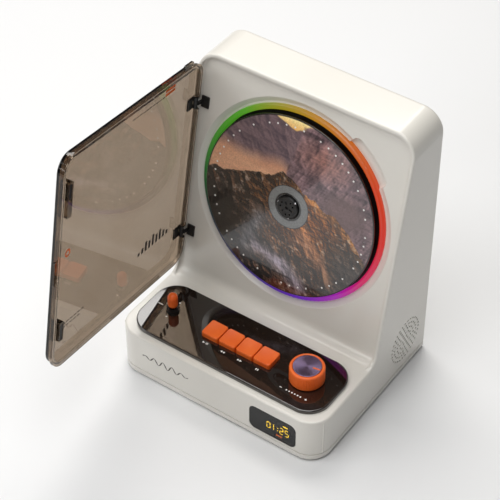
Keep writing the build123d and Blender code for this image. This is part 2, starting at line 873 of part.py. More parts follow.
hinge_leaves = []
hinge_pins = []
hinge_brackets = []
third = hinge_length / 3
face_floor = -face_depth
for height in hinge_heights:
    barrel = Pos(hinge_x, height, hinge_rise) * Rot(90, 0, 0) * Cylinder(knuckle_r, hinge_length)
    centre_gap = block(
        hinge_x - 5, hinge_x + 5, height - third / 2 - 0.1, height + third / 2 + 0.1, hinge_rise - 5, door_floor
    )
    pin_hole = Pos(hinge_x, height, hinge_rise) * Rot(90, 0, 0) * Cylinder(pin_r, hinge_length + 2)
    leaf = block(
        hinge_x - 0.4,
        hinge_x + door_leaf_length,
        height - hinge_length / 2,
        height + hinge_length / 2,
        door_floor - leaf_thickness,
        door_floor,
    )
    knuckles = barrel - block(
        hinge_x - 5, hinge_x + 2.2, height - third / 2 - 0.1, height + third / 2 + 0.1, hinge_rise - 5, 20
    )
    leaf -= block(
        hinge_x - 5, hinge_x + knuckle_r + 0.4, height - third / 2 - 0.1, height + third / 2 + 0.1, 0, door_floor
    )
    hinge_leaves.append(swing * (knuckles + leaf - pin_hole))
    hinge_pins.append(
        swing * Pos(hinge_x, height, hinge_rise) * Rot(90, 0, 0) * Cylinder(pin_r, hinge_length)
    )
    bracket = barrel & block(
        hinge_x - 5, hinge_x + 5, height - third / 2 + 0.1, height + third / 2 - 0.1, hinge_rise - 5, 20
    )
    riser_x = -face_half + face_cove_r
    riser_span = (height - third / 2 + 0.1, height + third / 2 - 0.1)
    bracket += block(riser_x, riser_x + 1, *riser_span, face_floor, hinge_rise - 0.2)
    bracket += block(hinge_x, riser_x + 1, *riser_span, hinge_rise - 1.4, hinge_rise - 0.2)
    bracket += block(
        riser_x,
        riser_x + tower_leaf_length,
        height - hinge_length / 2,
        height + hinge_length / 2,
        face_floor,
        face_floor + leaf_thickness,
    )
    bracket -= Pos(hinge_x, height, hinge_rise) * Rot(90, 0, 0) * Cylinder(
        pin_r + screw_clearance, hinge_length
    )
    hinge_brackets.append(tower.location * bracket)
save("hinge_leaves", hinge_leaves)
save("hinge_pins", hinge_pins)
save("hinge_brackets", hinge_brackets)

# Door catches: magnets in holders on the door, keepers behind the tower face
catch_right = door_right - catch_edge_inset
catch_left = catch_right - catch_width
holders = []
magnets = []
keepers = []
for low, high in catch_spans:
    middle = (low + high) / 2
    magnet_low = middle if high - low > 20 else low + 1.2
    pocket = (catch_left + 0.8, catch_right - 0.8, magnet_low, high - 1.2)
    holder = slab(catch_left, catch_right, low, high, door_floor - catch_drop, door_floor, 1.2)
    holder -= block(*pocket, door_floor - catch_drop - 1, door_floor - 1.2)
    holders.append(swing * holder)
    magnets.append(
        swing
        * block(
            pocket[0] + 0.05,
            pocket[1] - 0.05,
            pocket[2] + 0.05,
            pocket[3] - 0.05,
            door_floor - catch_drop + 0.2,
            door_floor - 1.2,
        )
    )
    keeper_y = (pocket[2] + pocket[3]) / 2
    keepers.append(
        tower.location
        * rod(
            keeper_r,
            -face_depth - face_wall - 3,
            -face_depth - face_wall,
            (catch_left + catch_right) / 2 - 0.5,
            keeper_y,
        )
    )
save("catch_holders", holders)
save("catch_magnets", magnets)
save("keeper_magnets", keepers)

# Pull tab on the free edge and a small tab on the top edge
tab_low, tab_high = tab_span
pull_tab = slab(
    door_right, door_right + tab_reach, tab_low, tab_high, door_gap + 0.2, door_gap + 1.5, tab_reach / 2 - 0.05
)
save("pull_tab", swing * pull_tab)
top_tab = slab(
    door_left_edge + top_tab_span[0],
    door_left_edge + top_tab_span[1],
    door_high,
    door_high + top_tab_reach,
    door_gap + 0.2,
    door_gap + 1.5,
    top_tab_reach / 2 - 0.3,
)
save("top_tab", swing * top_tab)

# Control panel with its cut-outs
button_y = front_y + button_inset
toggle_y = front_y + toggle_inset
knob_y = front_y + knob_inset
button_width = button_pitch - button_spacing
buttons_half = button_pitch * len(button_names) / 2
control_panel = slab(
    -panel_width / 2,
    panel_width / 2,
    panel_front,
    panel_front + panel_depth,
    deck_height,
    panel_top,
    panel_corner_r,
)
control_panel = fillet(control_panel.faces().sort_by(Axis.Z)[-1].edges(), panel_edge_r)
control_panel -= slab(
    -buttons_half,
    buttons_half,
    button_y - button_depth / 2 - button_gap,
    button_y + button_depth / 2 + button_gap,
    deck_height - 1,
    panel_top + 1,
    button_corner_r,
)
control_panel -= rod(bush_bore_r + bush_wall + fit_gap, deck_height - 1, panel_top + 1, toggle_x, toggle_y)
pot_bush_r = pot_shaft_r + pot_bush_wall
control_panel -= rod(pot_bush_r + fit_gap, deck_height - 1, panel_top + 1, knob_x, knob_y)
save("control_panel", control_panel)

# Control board, with the key switches
board_low = control_board_top - board_thickness
control_board = block(
    -board_half_x, board_half_x, board_front, board_back, board_low, control_board_top
)
for bx, by in board_spots:
    control_board -= rod(through_r, board_low - 1, control_board_top + 1, bx, by)
save("control_board", control_board)
save(
    "board_screws",
    [Pos(bx, by, board_low) * screw(board_screw_length) for bx, by in board_spots],
)
button_xs = [(i - (len(button_names) - 1) / 2) * button_pitch for i in range(len(button_names))]
flange_top = deck_height - 0.5
flange_low = flange_top - button_flange
stem_low = flange_low - 2.0
switch_top = stem_low - button_travel - 0.1
save(
    "key_switches",
    [
        block(x - 3, x + 3, button_y - 3, button_y + 3, control_board_top, switch_top - 1.0)
        + rod(1.75, switch_top - 1.2, switch_top, x, button_y)
        for x in button_xs
    ],
)

# Button caps
cap_top = panel_top + button_rise
for name, x in zip(button_names, button_xs):
    cap = slab(
        x - button_width / 2,
        x + button_width / 2,
        button_y - button_depth / 2,
        button_y + button_depth / 2,
        flange_low,
        cap_top,
        button_corner_r,
    )
    cap = fillet(cap.faces().sort_by(Axis.Z)[-1].edges(), button_edge_r)
    cap -= Pos(x, button_y, cap_top + button_dish_r - button_dish_depth) * Sphere(button_dish_r)
    cap -= block(
        x - button_width / 2 + button_wall,
        x + button_width / 2 - button_wall,
        button_y - button_depth / 2 + button_wall,
        button_y + button_depth / 2 - button_wall,
        flange_low - 1,
        cap_top - button_roof,
    )
    cap += block(
        x - button_width / 2 + 0.6,
        x + button_width / 2 - 0.6,
        button_y - button_depth / 2 - button_flange,
        button_y - button_depth / 2 + 1.2,
        flange_low,
        flange_top,
    )
    cap += block(
        x - button_width / 2 + 0.6,
        x + button_width / 2 - 0.6,
        button_y + button_depth / 2 - 1.2,
        button_y + button_depth / 2 + button_flange,
        flange_low,
        flange_top,
    )
    cap += rod(button_stem_r, stem_low, cap_top - 2.5, x, button_y)
    save("button_" + name, cap)

# Volume control: knob, metal cap, pointer, shaft and potentiometer
knob_low = panel_top + knob_lift
knob_top = knob_low + knob_height
knob = rod(knob_r, knob_low, knob_top, knob_x, knob_y)
knob = fillet(knob.faces().sort_by(Axis.Z)[-1].edges(), knob_edge_r)
knob -= rod(knob_r - knob_wall, knob_low - 1, knob_low + knob_hollow, knob_x, knob_y)
knob += rod(pot_shaft_r + knob_socket_wall, knob_low + 3.0, knob_low + 6, knob_x, knob_y)
knob -= rod(pot_shaft_r, knob_low - 1, knob_top - knob_roof, knob_x, knob_y)
knob -= rod(knob_cap_r + 0.05, knob_top - knob_cap_sink, knob_top + 1, knob_x, knob_y)
save("volume_knob", knob)
knob_cap = rod(knob_cap_r, knob_top - knob_cap_sink, knob_top + knob_cap_rise, knob_x, knob_y)
knob_cap = chamfer(knob_cap.faces().sort_by(Axis.Z)[-1].edges(), 0.25)
pointer_start = knob_x + knob_cap_r - pointer_length - 0.6
pointer_box = (pointer_start, pointer_start + pointer_length, knob_y - pointer_half, knob_y + pointer_half)
pointer_turn = Pos(knob_x, knob_y, 0) * Rot(0, 0, pointer_angle) * Pos(-knob_x, -knob_y, 0)
knob_cap -= pointer_turn * block(*pointer_box, knob_top - 0.1, knob_top + 1)
save("knob_cap", knob_cap)
save("knob_pointer", pointer_turn * block(*pointer_box, knob_top - 0.1, knob_top + 0.35))
pot_top = control_board_top + pot_height
save("volume_shaft", rod(pot_shaft_r, control_board_top + 3, knob_top - knob_roof, knob_x, knob_y))
potentiometer = block(
    knob_x - pot_half, knob_x + pot_half, knob_y - pot_half, knob_y + pot_half, control_board_top, pot_top
)
potentiometer += rod(pot_bush_r, pot_top - 0.1, panel_top + 2.0, knob_x, knob_y)
potentiometer += rod(pot_bush_r + 1.8, panel_top, panel_top + 1.4, knob_x, knob_y)
potentiometer -= rod(pot_shaft_r + screw_clearance, control_board_top + 2.5, panel_top + 3, knob_x, knob_y)
save("volume_potentiometer", potentiometer)

# Toggle switch: body, bush, lever and cap
toggle_top = panel_top + toggle_rise
toggle_pivot_height = deck_height + toggle_pivot_rise
cap_low = toggle_top - toggle_cap_length
ball_r = bush_bore_r - 0.3
switch_body_top = deck_height - 1.4
lever_low = switch_body_top - toggle_socket
toggle_body = block(
    toggle_x - toggle_half_x,
    toggle_x + toggle_half_x,
    toggle_y - toggle_half_y,
    toggle_y + toggle_half_y,
    control_board_top,
    switch_body_top,
)
toggle_body -= block(
    toggle_x - toggle_slot_x,
    toggle_x + toggle_slot_x,
    toggle_y - toggle_slot_y,
    toggle_y + toggle_slot_y,
    lever_low - 1.0,
    switch_body_top + 1,
)
save("toggle_switch", toggle_body)
bush_top = panel_top + bush_rise
bush = rod(bush_bore_r + bush_wall, switch_body_top, bush_top, toggle_x, toggle_y)
bush += rod(bush_r, panel_top, bush_top - 0.4, toggle_x, toggle_y)
bush = bush - rod(bush_bore_r, switch_body_top - 1, bush_top + 1, toggle_x, toggle_y)
save("toggle_bush", bush)
lever = rod(toggle_rod_r, lever_low, cap_low + toggle_socket, toggle_x, toggle_y)
lever += Pos(toggle_x, toggle_y, toggle_pivot_height) * Sphere(ball_r)
save("toggle_lever", lever)
toggle_cap = rod(
    toggle_cap_r, cap_low + toggle_cap_r, toggle_top - toggle_cap_r, toggle_x, toggle_y
)
toggle_cap += Pos(toggle_x, toggle_y, toggle_top - toggle_cap_r) * Sphere(toggle_cap_r)
toggle_cap += Pos(toggle_x, toggle_y, cap_low + toggle_cap_r) * Sphere(toggle_cap_r)
toggle_cap &= block(
    toggle_x - 9, toggle_x + 9, toggle_y - 9, toggle_y + 9, cap_low + 0.6, toggle_top + 1
)
toggle_cap -= rod(toggle_rod_r, cap_low - 1, cap_low + toggle_socket, toggle_x, toggle_y)
save("toggle_cap", toggle_cap)

# Display window and the module behind it
window_outline = Plane.XZ * RectangleRounded(
    window_width - 2 * fit_gap, window_height - 2 * fit_gap, window_corner_r - fit_gap
)
window = Pos(window_mid_x, front_y + window_thickness, window_mid_z) * extrude(
    window_outline, amount=window_thickness
)
window = fillet(window.faces().sort_by(Axis.Y)[0].edges(), 0.4)
save("display_window", window)
module = block(
    window_left + display_gap,
    window_left + window_width - display_gap,
    front_y + window_thickness + 0.1,
    front_y + wall + display_gap,
    window_low + display_gap,
    window_low + window_height - display_gap,
)
save("display_module", module)
save(
    "display_board",
    block(
        window_left - display_board_margin,
        window_left + window_width + display_board_margin,
        front_y + wall + display_gap,
        front_y + wall + display_gap + board_thickness,
        seam_height + 2.0,
        control_board_top + 5,
    )
    & block(-200, board_half_x, front_y, board_front - 0.3, 0, deck_height),
)

# Speakers behind the two grilles
for side, name in ((-1, "left"), (1, "right")):
    lay = Pos(side * (side_x - wall), speaker_y, speaker_z) * Rot(0, -90 * side, 0)
    frame = tube(speaker_r, speaker_r - speaker_rim, 0, speaker_flange)
    basket_r = speaker_r - speaker_rim + basket_sheet
    basket_height = speaker_depth - speaker_magnet_height - speaker_flange + 0.2
    basket = Solid.make_cone(basket_r, basket_neck_r, basket_height)
    basket -= Solid.make_cone(basket_r - basket_sheet, basket_neck_r - basket_sheet, basket_height)
    frame += Pos(0, 0, speaker_flange - 0.1) * basket
    frame += tube(
        speaker_magnet_r, voice_coil_r + 0.2, speaker_depth - speaker_magnet_height, speaker_depth
    )
    save("speaker_frame_" + name, lay * frame)
    cone_r = speaker_r - speaker_rim - 0.2
    cone = Solid.make_cone(cone_r, voice_coil_r + 0.8, cone_height)
    cone -= Pos(0, 0, -cone_sheet) * Solid.make_cone(cone_r, voice_coil_r + 0.8, cone_height)
    cone += rod(voice_coil_r + 0.8, cone_height - cone_sheet, cone_height)
    cone += tube(voice_coil_r, voice_coil_r - cone_sheet, cone_height - 0.1, speaker_depth - 2)
    save("speaker_cone_" + name, lay * Pos(0, 0, 0.4) * cone)

# Main board, battery and rear sockets
board_z = main_board_top - board_thickness
main_board = block(
    -main_board_half,
    main_board_half,
    main_board_front,
    back_y - wall - main_board_back_gap,
    board_z,
    main_board_top,
)
for bx, by in standoff_spots:
    main_board -= rod(through_r, board_z - 1, main_board_top + 1, bx, by)
save("main_board", main_board)
save(
    "main_board_screws",
    [
        Pos(bx, by, main_board_top) * Rot(180, 0, 0) * screw(main_board_screw_length)
        for bx, by in standoff_spots
    ],
)
battery = block(
    -battery_half,
    battery_half,
    battery_front,
    battery_back,
    main_board_top + 0.2,
    main_board_top + battery_height,
)
save("battery", fillet(battery.edges(), 1.0))
socket_high = socket_z + board_thickness
socket_mid = socket_z + socket_rise
socket_card = block(
    socket_board_left,
    socket_board_right,
    back_y - wall - 8.5,
    back_y - wall - 0.4,
    socket_z,
    socket_high,
)
save("socket_board", socket_card)
usb_port = Pos(usb_x, back_y - 0.4, socket_mid) * extrude(
    Plane.XZ * SlotOverall(usb_width, usb_height), amount=7.5
)
usb_port += block(
    usb_x - 3.6, usb_x + 3.6, back_y - 7.9, back_y - wall - 1, socket_high, socket_z + 3
)
usb_port = usb_port - Pos(usb_x, back_y, socket_mid) * extrude(
    Plane.XZ * SlotOverall(usb_width - 2 * usb_shell, usb_height - 2 * usb_shell), amount=6.6
)
usb_port += block(usb_x - 3.3, usb_x + 3.3, back_y - 7.4, back_y - 1.6, socket_mid - 0.35, socket_mid + 0.35)
save("usb_port", usb_port)
jack = block(
    jack_x - jack_half, jack_x + jack_half, back_y - wall - 8, back_y - wall - 0.4, socket_high, socket_z + 7.4
)
jack += Pos(jack_x, back_y, socket_mid) * Rot(90, 0, 0) * Cylinder(jack_sleeve_r, wall + 0.4, align=low_align)
jack -= Pos(jack_x, back_y + 1, socket_mid) * Rot(90, 0, 0) * Cylinder(
    jack_bore_r, wall + 8.5, align=low_align
)
save("audio_jack", jack)
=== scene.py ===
import json
import math

import bpy
import numpy as np
from mathutils import Matrix, Vector


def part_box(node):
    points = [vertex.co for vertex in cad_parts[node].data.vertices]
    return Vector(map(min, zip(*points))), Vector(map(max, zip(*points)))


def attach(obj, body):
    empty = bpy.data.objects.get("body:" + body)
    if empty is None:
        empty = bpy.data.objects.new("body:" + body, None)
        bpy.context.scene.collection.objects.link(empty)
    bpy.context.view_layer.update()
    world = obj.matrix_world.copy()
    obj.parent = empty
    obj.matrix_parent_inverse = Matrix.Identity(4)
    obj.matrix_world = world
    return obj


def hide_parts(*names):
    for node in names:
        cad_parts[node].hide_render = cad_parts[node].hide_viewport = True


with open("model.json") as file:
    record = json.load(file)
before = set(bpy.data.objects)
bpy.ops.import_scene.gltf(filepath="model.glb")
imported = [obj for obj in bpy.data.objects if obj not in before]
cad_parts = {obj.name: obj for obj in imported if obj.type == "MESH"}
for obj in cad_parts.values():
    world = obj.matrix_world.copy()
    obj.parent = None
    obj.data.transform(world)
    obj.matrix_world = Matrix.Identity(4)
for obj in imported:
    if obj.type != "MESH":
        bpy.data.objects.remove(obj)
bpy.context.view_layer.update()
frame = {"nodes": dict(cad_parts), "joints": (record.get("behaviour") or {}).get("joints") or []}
MM = 0.001


# Studio: a pale floor, four large soft lights behind, above, in front and at the left, a small one at the
# side, and a long camera. None of it belongs to the player.
def srgb(red, green, blue):
    """A colour given in 0 to 255 steps, as linear light with an alpha of 1."""
    steps = np.array([red, green, blue]) / 255
    linear = np.where(steps <= 0.04045, steps / 12.92, ((steps + 0.055) / 1.055) ** 2.4)
    return (*linear.tolist(), 1.0)


def material_node(material, kind, inputs=None, **settings):
    """Adds a shader node. Inputs maps a socket to a value, or to the output that feeds it."""
    made = material.node_tree.nodes.new(kind)
    for name, value in settings.items():
        setattr(made, name, value)
    for name, value in (inputs or {}).items():
        if isinstance(value, bpy.types.NodeSocket):
            material.node_tree.links.new(value, made.inputs[name])
        else:
            made.inputs[name].default_value = value
    return made


def feed(material, output, socket):
    """Joins an output to a shader's socket."""
    material.node_tree.links.new(output, socket)


def finish(name, colour, roughness, **sockets):
    """A material with one shader. What is the same all over is set on the shader's own sockets."""
    material = bpy.data.materials.new(name)
    material.use_nodes = True
    shader = material.node_tree.nodes["Principled BSDF"]
    values = {"Base_Color": colour, "Roughness": roughness, **sockets}
    for socket, value in values.items():
        shader.inputs[socket.replace("_", " ")].default_value = value
    return material, shader


def ramp(material, factor, stops, interpolation="LINEAR"):
    """A colour ramp over (place, colour) stops. Returns its colour output."""
    made = material_node(material, "ShaderNodeValToRGB", {"Fac": factor})
    made.color_ramp.interpolation = interpolation
    elements = made.color_ramp.elements
    while len(elements) < len(stops):
        elements.new(0.5)
    for element, (place, colour) in zip(elements, stops):
        element.position = place
        element.color = colour
    return made.outputs["Color"]


def noise(material, place, size, detail=3.0, distortion=0.0):
    """Soft noise whose lumps are about one size across, in metres."""
    inputs = {"Vector": place, "Scale": 1 / size, "Detail": detail, "Distortion": distortion}
    return material_node(material, "ShaderNodeTexNoise", inputs).outputs["Fac"]


def weather(material, shader, tones, patch, roughness, grain, depth):
    """The unevenness of a real surface. The colour wanders between two tones in wide patches, the
    roughness between two values in smaller ones, and a fine grain stands up as a bump of one depth."""
    place = material_node(material, "ShaderNodeTexCoord").outputs["Object"]
    low, high = 0.35, 0.65
    wide = noise(material, place, patch)
    feed(material, ramp(material, wide, [(low, tones[0]), (high, tones[1])]), shader.inputs["Base Color"])
    smears = noise(material, place, patch / 3, 4.0)
    dull, rough = roughness
    span = {"Value": smears, "From Min": low, "From Max": high, "To Min": dull, "To Max": rough}
    sheen = material_node(material, "ShaderNodeMapRange", span)
    feed(material, sheen.outputs["Result"], shader.inputs["Roughness"])
    pores = noise(material, place, grain, 2.0)
    bump = material_node(material, "ShaderNodeBump", {"Height": pores, "Strength": 0.5, "Distance": depth})
    feed(material, bump.outputs["Normal"], shader.inputs["Normal"])


def surface(name, points, material, body, wrap_u=True, wrap_v=True):
    """A smooth skin over a grid of points, u by v by 3, in metres. Wrapping joins the last row to the
    first. It rides on a body and takes the finish it is given."""
    rows, columns = points.shape[:2]
    index = np.arange(rows * columns).reshape(rows, columns)
    if wrap_u:
        index = np.vstack([index, index[:1]])
    if wrap_v:
        index = np.hstack([index, index[:, :1]])
    corners = (index[:-1, :-1], index[:-1, 1:], index[1:, 1:], index[1:, :-1])
    quads = np.stack(corners, axis=-1).reshape(-1, 4)
    mesh = bpy.data.meshes.new(name)
    mesh.from_pydata(points.reshape(-1, 3).tolist(), [], quads.tolist())
    mesh.shade_smooth()
    mesh.materials.append(material)
    return place_piece(name, mesh, body)


def place_piece(name, mesh, body):
    """Puts a mesh in the scene as a piece that rides on a body."""
    piece = bpy.data.objects.new(name, mesh)
    bpy.context.scene.collection.objects.link(piece)
    if body:
        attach(piece, body)
    return piece


def area_light(name, place, aim, size, power, tint):
    """A square soft light at one point, turned to another."""
    lamp = bpy.data.lights.new(name, "AREA")
    lamp.size = size
    lamp.energy = power
    lamp.color = tint
    holder = bpy.data.objects.new(name, lamp)
    bpy.context.scene.collection.objects.link(holder)
    holder.location = place
    holder.rotation_euler = (Vector(aim) - Vector(place)).to_track_quat("-Z", "Y").to_euler()


floor_paint, floor_shader = finish("floor_paint", (0.8, 0.8, 0.8, 1.0), 0.7)
floor_half = 6.0
steps = np.linspace(-floor_half, floor_half, 25)
floor_x, floor_y = np.meshgrid(steps, steps)
floor_points = np.stack([floor_x, floor_y, np.zeros_like(floor_x)], axis=-1)
floor = surface("studio_floor", floor_points, floor_paint, None, wrap_u=False, wrap_v=False)

world = bpy.data.worlds.new("studio_air")
bpy.context.scene.world = world
world.use_nodes = True
world.node_tree.nodes["Background"].inputs["Color"].default_value = (0.93, 0.95, 1.0, 1)
world.node_tree.nodes["Background"].inputs["Strength"].default_value = 0.1
bpy.context.scene.view_settings.view_transform = "Standard"

centre = (0, 0, 0.09)
area_light("back_softbox", (-0.4, 0.57, 1.25), centre, 0.8, 12.0, (1.0, 0.98, 0.95))
area_light("top_softbox", (0.1, -0.35, 1.35), centre, 0.8, 8.5, (1.0, 1.0, 0.99))
area_light("front_softbox", (-0.3, -1.5, 1.0), centre, 0.7, 5.4, (1.0, 1.0, 1.0))
area_light("left_softbox", (-0.95, -0.75, 0.95), centre, 0.7, 5.0, (0.97, 0.98, 1.0))
area_light("side_softbox", (-1.25, 0.45, 0.75), centre, 0.35, 1.6, (1.0, 1.0, 1.0))

azimuth = math.radians(34.98)
elevation = math.radians(43.37)
camera_distance = 1.081
camera_aim = Vector((-0.01531, -0.00275, 0.08558))
camera = bpy.data.objects.new("camera", bpy.data.cameras.new("camera"))
bpy.context.scene.collection.objects.link(camera)
camera.data.lens = 127.64
camera.data.sensor_width = 36.0
outwards = Vector(
    (
        math.sin(azimuth) * math.cos(elevation),
        -math.cos(azimuth) * math.cos(elevation),
        math.sin(elevation),
    )
)
camera.location = camera_aim + camera_distance * outwards
camera.rotation_euler = (-outwards).to_track_quat("-Z", "Y").to_euler()
bpy.context.scene.camera = camera


# Housing, bottom cover and back cover: injection moulded in cream ABS with a satin gloss, and snapped and
# screwed together. The moulding is even in colour, with a faint flow in its sheen.
def dress(material, *names):
    """Gives CAD nodes this finish in place of the plain one they came with."""
    for name in names:
        for slot in frame["nodes"][name].material_slots:
            slot.material = material


cream_tones = (srgb(218, 214, 205), srgb(222, 218, 210))
cream, cream_shader = finish("cream_plastic", cream_tones[0], 0.3, Coat_Weight=0.4, Coat_Roughness=0.08)
weather(cream, cream_shader, cream_tones, 0.09, (0.3, 0.34), 0.0004, 0.000002)
dress(cream, "housing", "bottom_cover", "back_cover")

# Black parts: hinge leaves and brackets, hub, drive tray, switch bodies and sockets. They are glass filled
# nylon with a fine spark texture from the mould.
black_tones = (srgb(18, 17, 16), srgb(30, 28, 27))
black, black_shader = finish("black_plastic", black_tones[0], 0.4)
weather(black, black_shader, black_tones, 0.01, (0.32, 0.46), 0.0003, 0.00001)
dress(black, "disc_tray", "disc_hub", "laser_sled", "hinge_leaves", "hinge_brackets", "key_switches")
dress(black, "toggle_switch", "toggle_bush", "display_module", "audio_jack")
dress(black, "speaker_frame_left", "speaker_frame_right")

# Orange keys, knob pointer and toggle cap: soft touch lacquer over ABS, with a matt, slightly mottled face.
orange_tones = (srgb(236, 98, 24), srgb(244, 110, 34))
orange, orange_shader = finish("orange_lacquer", orange_tones[0], 0.45)
weather(orange, orange_shader, orange_tones, 0.012, (0.4, 0.52), 0.00035, 0.000012)
dress(orange, "button_previous", "button_play", "button_next", "button_stop", "toggle_cap", "knob_pointer")

# Steel parts: shafts, rails, motors, hinge pins and the USB shell, turned, drawn or pressed and left bright.
# Their sheen wanders a little along the metal, as it does after handling.
steel_tones = (srgb(150, 150, 152), srgb(188, 188, 190))
steel, steel_shader = finish("turned_steel", steel_tones[0], 0.3, Metallic=1.0)
weather(steel, steel_shader, steel_tones, 0.004, (0.22, 0.38), 0.0002, 0.00001)
dress(steel, "hinge_pins", "spindle_shaft", "spindle_motor", "sled_motor", "sled_rails", "lead_screw")
dress(steel, "volume_shaft", "volume_potentiometer", "toggle_lever", "usb_port")

# Screws: cold headed from steel wire, and plated with zinc, which dulls to an uneven grey.
zinc_tones = (srgb(96, 94, 90), srgb(130, 128, 122))
zinc, zinc_shader = finish("zinc_plate", zinc_tones[0], 0.35, Metallic=1.0)
weather(zinc, zinc_shader, zinc_tones, 0.003, (0.28, 0.45), 0.00015, 0.000008)
dress(zinc, "bottom_screws", "back_screws", "tray_screws", "board_screws", "main_board_screws")

# Gripping balls of the hub: hardened steel, ground and polished bright. Springs push them outwards.
chrome_tones = (srgb(214, 214, 218), srgb(226, 226, 230))
chrome, chrome_shader = finish("polished_balls", chrome_tones[0], 0.06, Metallic=1.0)
weather(chrome, chrome_shader, chrome_tones, 0.001, (0.04, 0.1), 0.0001, 0.000001)
dress(chrome, "hub_balls")

# Catch magnets and their keepers: sintered and plated black, with a faint bloom.
magnet_tones = (srgb(26, 26, 28), srgb(44, 44, 46))
magnet, magnet_shader = finish("magnet_plate", magnet_tones[0], 0.3, Metallic=0.7)
weather(magnet, magnet_shader, magnet_tones, 0.002, (0.2, 0.4), 0.0001, 0.000006)
dress(magnet, "catch_magnets", "keeper_magnets")

# Base pad: a sheet of soft black rubber stuck into the bottom cover.
rubber_tones = (srgb(22, 22, 22), srgb(36, 35, 34))
rubber, rubber_shader = finish("rubber", rubber_tones[0], 0.8)
weather(rubber, rubber_shader, rubber_tones, 0.008, (0.7, 0.9), 0.0006, 0.00005)
dress(rubber, "base_pad")

# Boards: glass fibre under green solder mask. Tracks show as squared paths just under the mask.
board_tones = (srgb(14, 62, 34), srgb(24, 92, 50))
board, board_shader = finish("solder_mask", board_tones[0], 0.3, Coat_Weight=0.3)
weather(board, board_shader, board_tones, 0.003, (0.22, 0.4), 0.0004, 0.00003)
board_place = material_node(board, "ShaderNodeTexCoord").outputs["Object"]
track_pitch = 1 / 0.0016
tracks = material_node(
    board, "ShaderNodeTexBrick", {"Vector": board_place, "Scale": track_pitch, "Mortar Size": 0.04}
)
tracks.inputs["Color1"].default_value = board_tones[0]
tracks.inputs["Color2"].default_value = srgb(18, 76, 42)
tracks.inputs["Mortar"].default_value = srgb(60, 130, 70)
feed(board, tracks.outputs["Color"], board_shader.inputs["Base Color"])
dress(board, "light_board", "control_board", "display_board", "main_board", "socket_board")

# Speaker cones: pressed from black paper pulp, with its fibres on the surface.
paper_tones = (srgb(20, 20, 20), srgb(40, 39, 37))
paper, paper_shader = finish("cone_paper", paper_tones[0], 0.9)
weather(paper, paper_shader, paper_tones, 0.002, (0.8, 0.95), 0.0003, 0.0001)
dress(paper, "speaker_cone_left", "speaker_cone_right")

# Battery: a lithium pouch in blue shrink wrap, glossy where the film is tight.
wrap_tones = (srgb(22, 48, 120), srgb(36, 70, 150))
wrap, wrap_shader = finish("shrink_wrap", wrap_tones[0], 0.25, Coat_Weight=0.5)
weather(wrap, wrap_shader, wrap_tones, 0.012, (0.18, 0.34), 0.002, 0.00008)
dress(wrap, "battery")

# Laser lens: a small moulded glass dome with a blue coating.
lens_tones = (srgb(120, 140, 220), srgb(150, 120, 210))
lens, lens_shader = finish("coated_lens", lens_tones[0], 0.05, Transmission_Weight=0.6, Coat_Weight=1.0)
weather(lens, lens_shader, lens_tones, 0.002, (0.03, 0.08), 0.0002, 0.0000005)
dress(lens, "laser_lens")


# Door, its catches and tabs: moulded in smoke tinted acrylic. Light passes twice through the tint, and the
# polished faces mirror the disc and the keys.
smoke_tones = (srgb(146, 129, 111), srgb(152, 136, 119))
smoke, smoke_shader = finish("smoked_acrylic", smoke_tones[0], 0.02, Transmission_Weight=1.0, IOR=1.49)
weather(smoke, smoke_shader, smoke_tones, 0.08, (0.012, 0.03), 0.004, 0.000002)
dress(smoke, "door_panel", "catch_holders", "pull_tab", "top_tab")

# Prints on the door's inner face: a ring, an orange label, a row of level bars and two lines of dashes,
# screen printed in ink a twentieth of a millimetre thick.
joints = {joint["name"]: joint for joint in frame["joints"]}
disc_centre = np.array(joints["disc_spin"]["pos_m"])
outward = np.array(joints["disc_spin"]["axis"])
rightward = np.array([1.0, 0.0, 0.0])
upslope = np.cross(outward, rightward)
hinge = joints["door_hinge"]


def on_tower(right, up, out):
    """Points in metres on the tower's face, from millimetres to the right of the disc's centre, up the
    slope from it, and out from the face's lip."""
    steps_right = np.multiply.outer(right, rightward)
    steps_up = np.multiply.outer(up, upslope)
    steps_out = np.multiply.outer(out, outward)
    return disc_centre + MM * (steps_right + steps_up + steps_out)


def on_door(right, up, out):
    """The same on the closed door, which then swings about its hinge to where it stands open."""
    pivot = np.array(hinge["pos_m"])
    swing = Matrix.Rotation(math.radians(-hinge["range_deg"][0]), 3, Vector(hinge["axis"]))
    return (on_tower(right, up, out) - pivot) @ np.array(swing).T + pivot


def bar(left, right, low, high):
    """The outline of an upright bar."""
    return np.array([(left, low), (right, low), (right, high), (left, high)])


def dot(x, y, radius, sides=20):
    """The outline of a round dot."""
    turn = np.linspace(0, 2 * math.pi, sides, endpoint=False)
    return np.stack([x + radius * np.cos(turn), y + radius * np.sin(turn)], axis=-1)


def print_marks(name, outlines, place, low, high, material, body, slot):
    """Flat marks of ink. Each outline becomes a thin closed slab between two heights, and place turns its
    x, y and height in millimetres into a point."""
    points, faces = [], []
    start = 0
    for outline in outlines:
        count = len(outline)
        ring = np.arange(count)
        after = (ring + 1) % count
        for height in (low, high):
            points.append(place(outline[:, 0], outline[:, 1], np.full(count, height)))
        faces.append((start + ring[::-1]).tolist())
        faces.append((start + count + ring).tolist())
        sides = np.stack([ring, after, after + count, ring + count], axis=-1) + start
        faces.extend(sides.tolist())
        start += 2 * count
    mesh = bpy.data.meshes.new(name)
    mesh.from_pydata(np.concatenate(points).tolist(), [], faces)
    mesh.materials.append(material)
    return place_piece(name, mesh, body)


def print_ring(name, x, y, inner, outer, place, low, high, material, body, slot):
    """A flat ring of ink: a small square section carried round a circle."""
    sides = 40
    turn = np.linspace(0, 2 * math.pi, sides, endpoint=False)[:, None]
    radius = np.array([inner, outer, outer, inner])
    height = np.broadcast_to(np.array([low, low, high, high]), (sides, len(radius)))
    points = place(x + radius * np.cos(turn), y + radius * np.sin(turn), height)
    piece = surface(name, points, material, body)
    piece.data.shade_flat()
    return piece


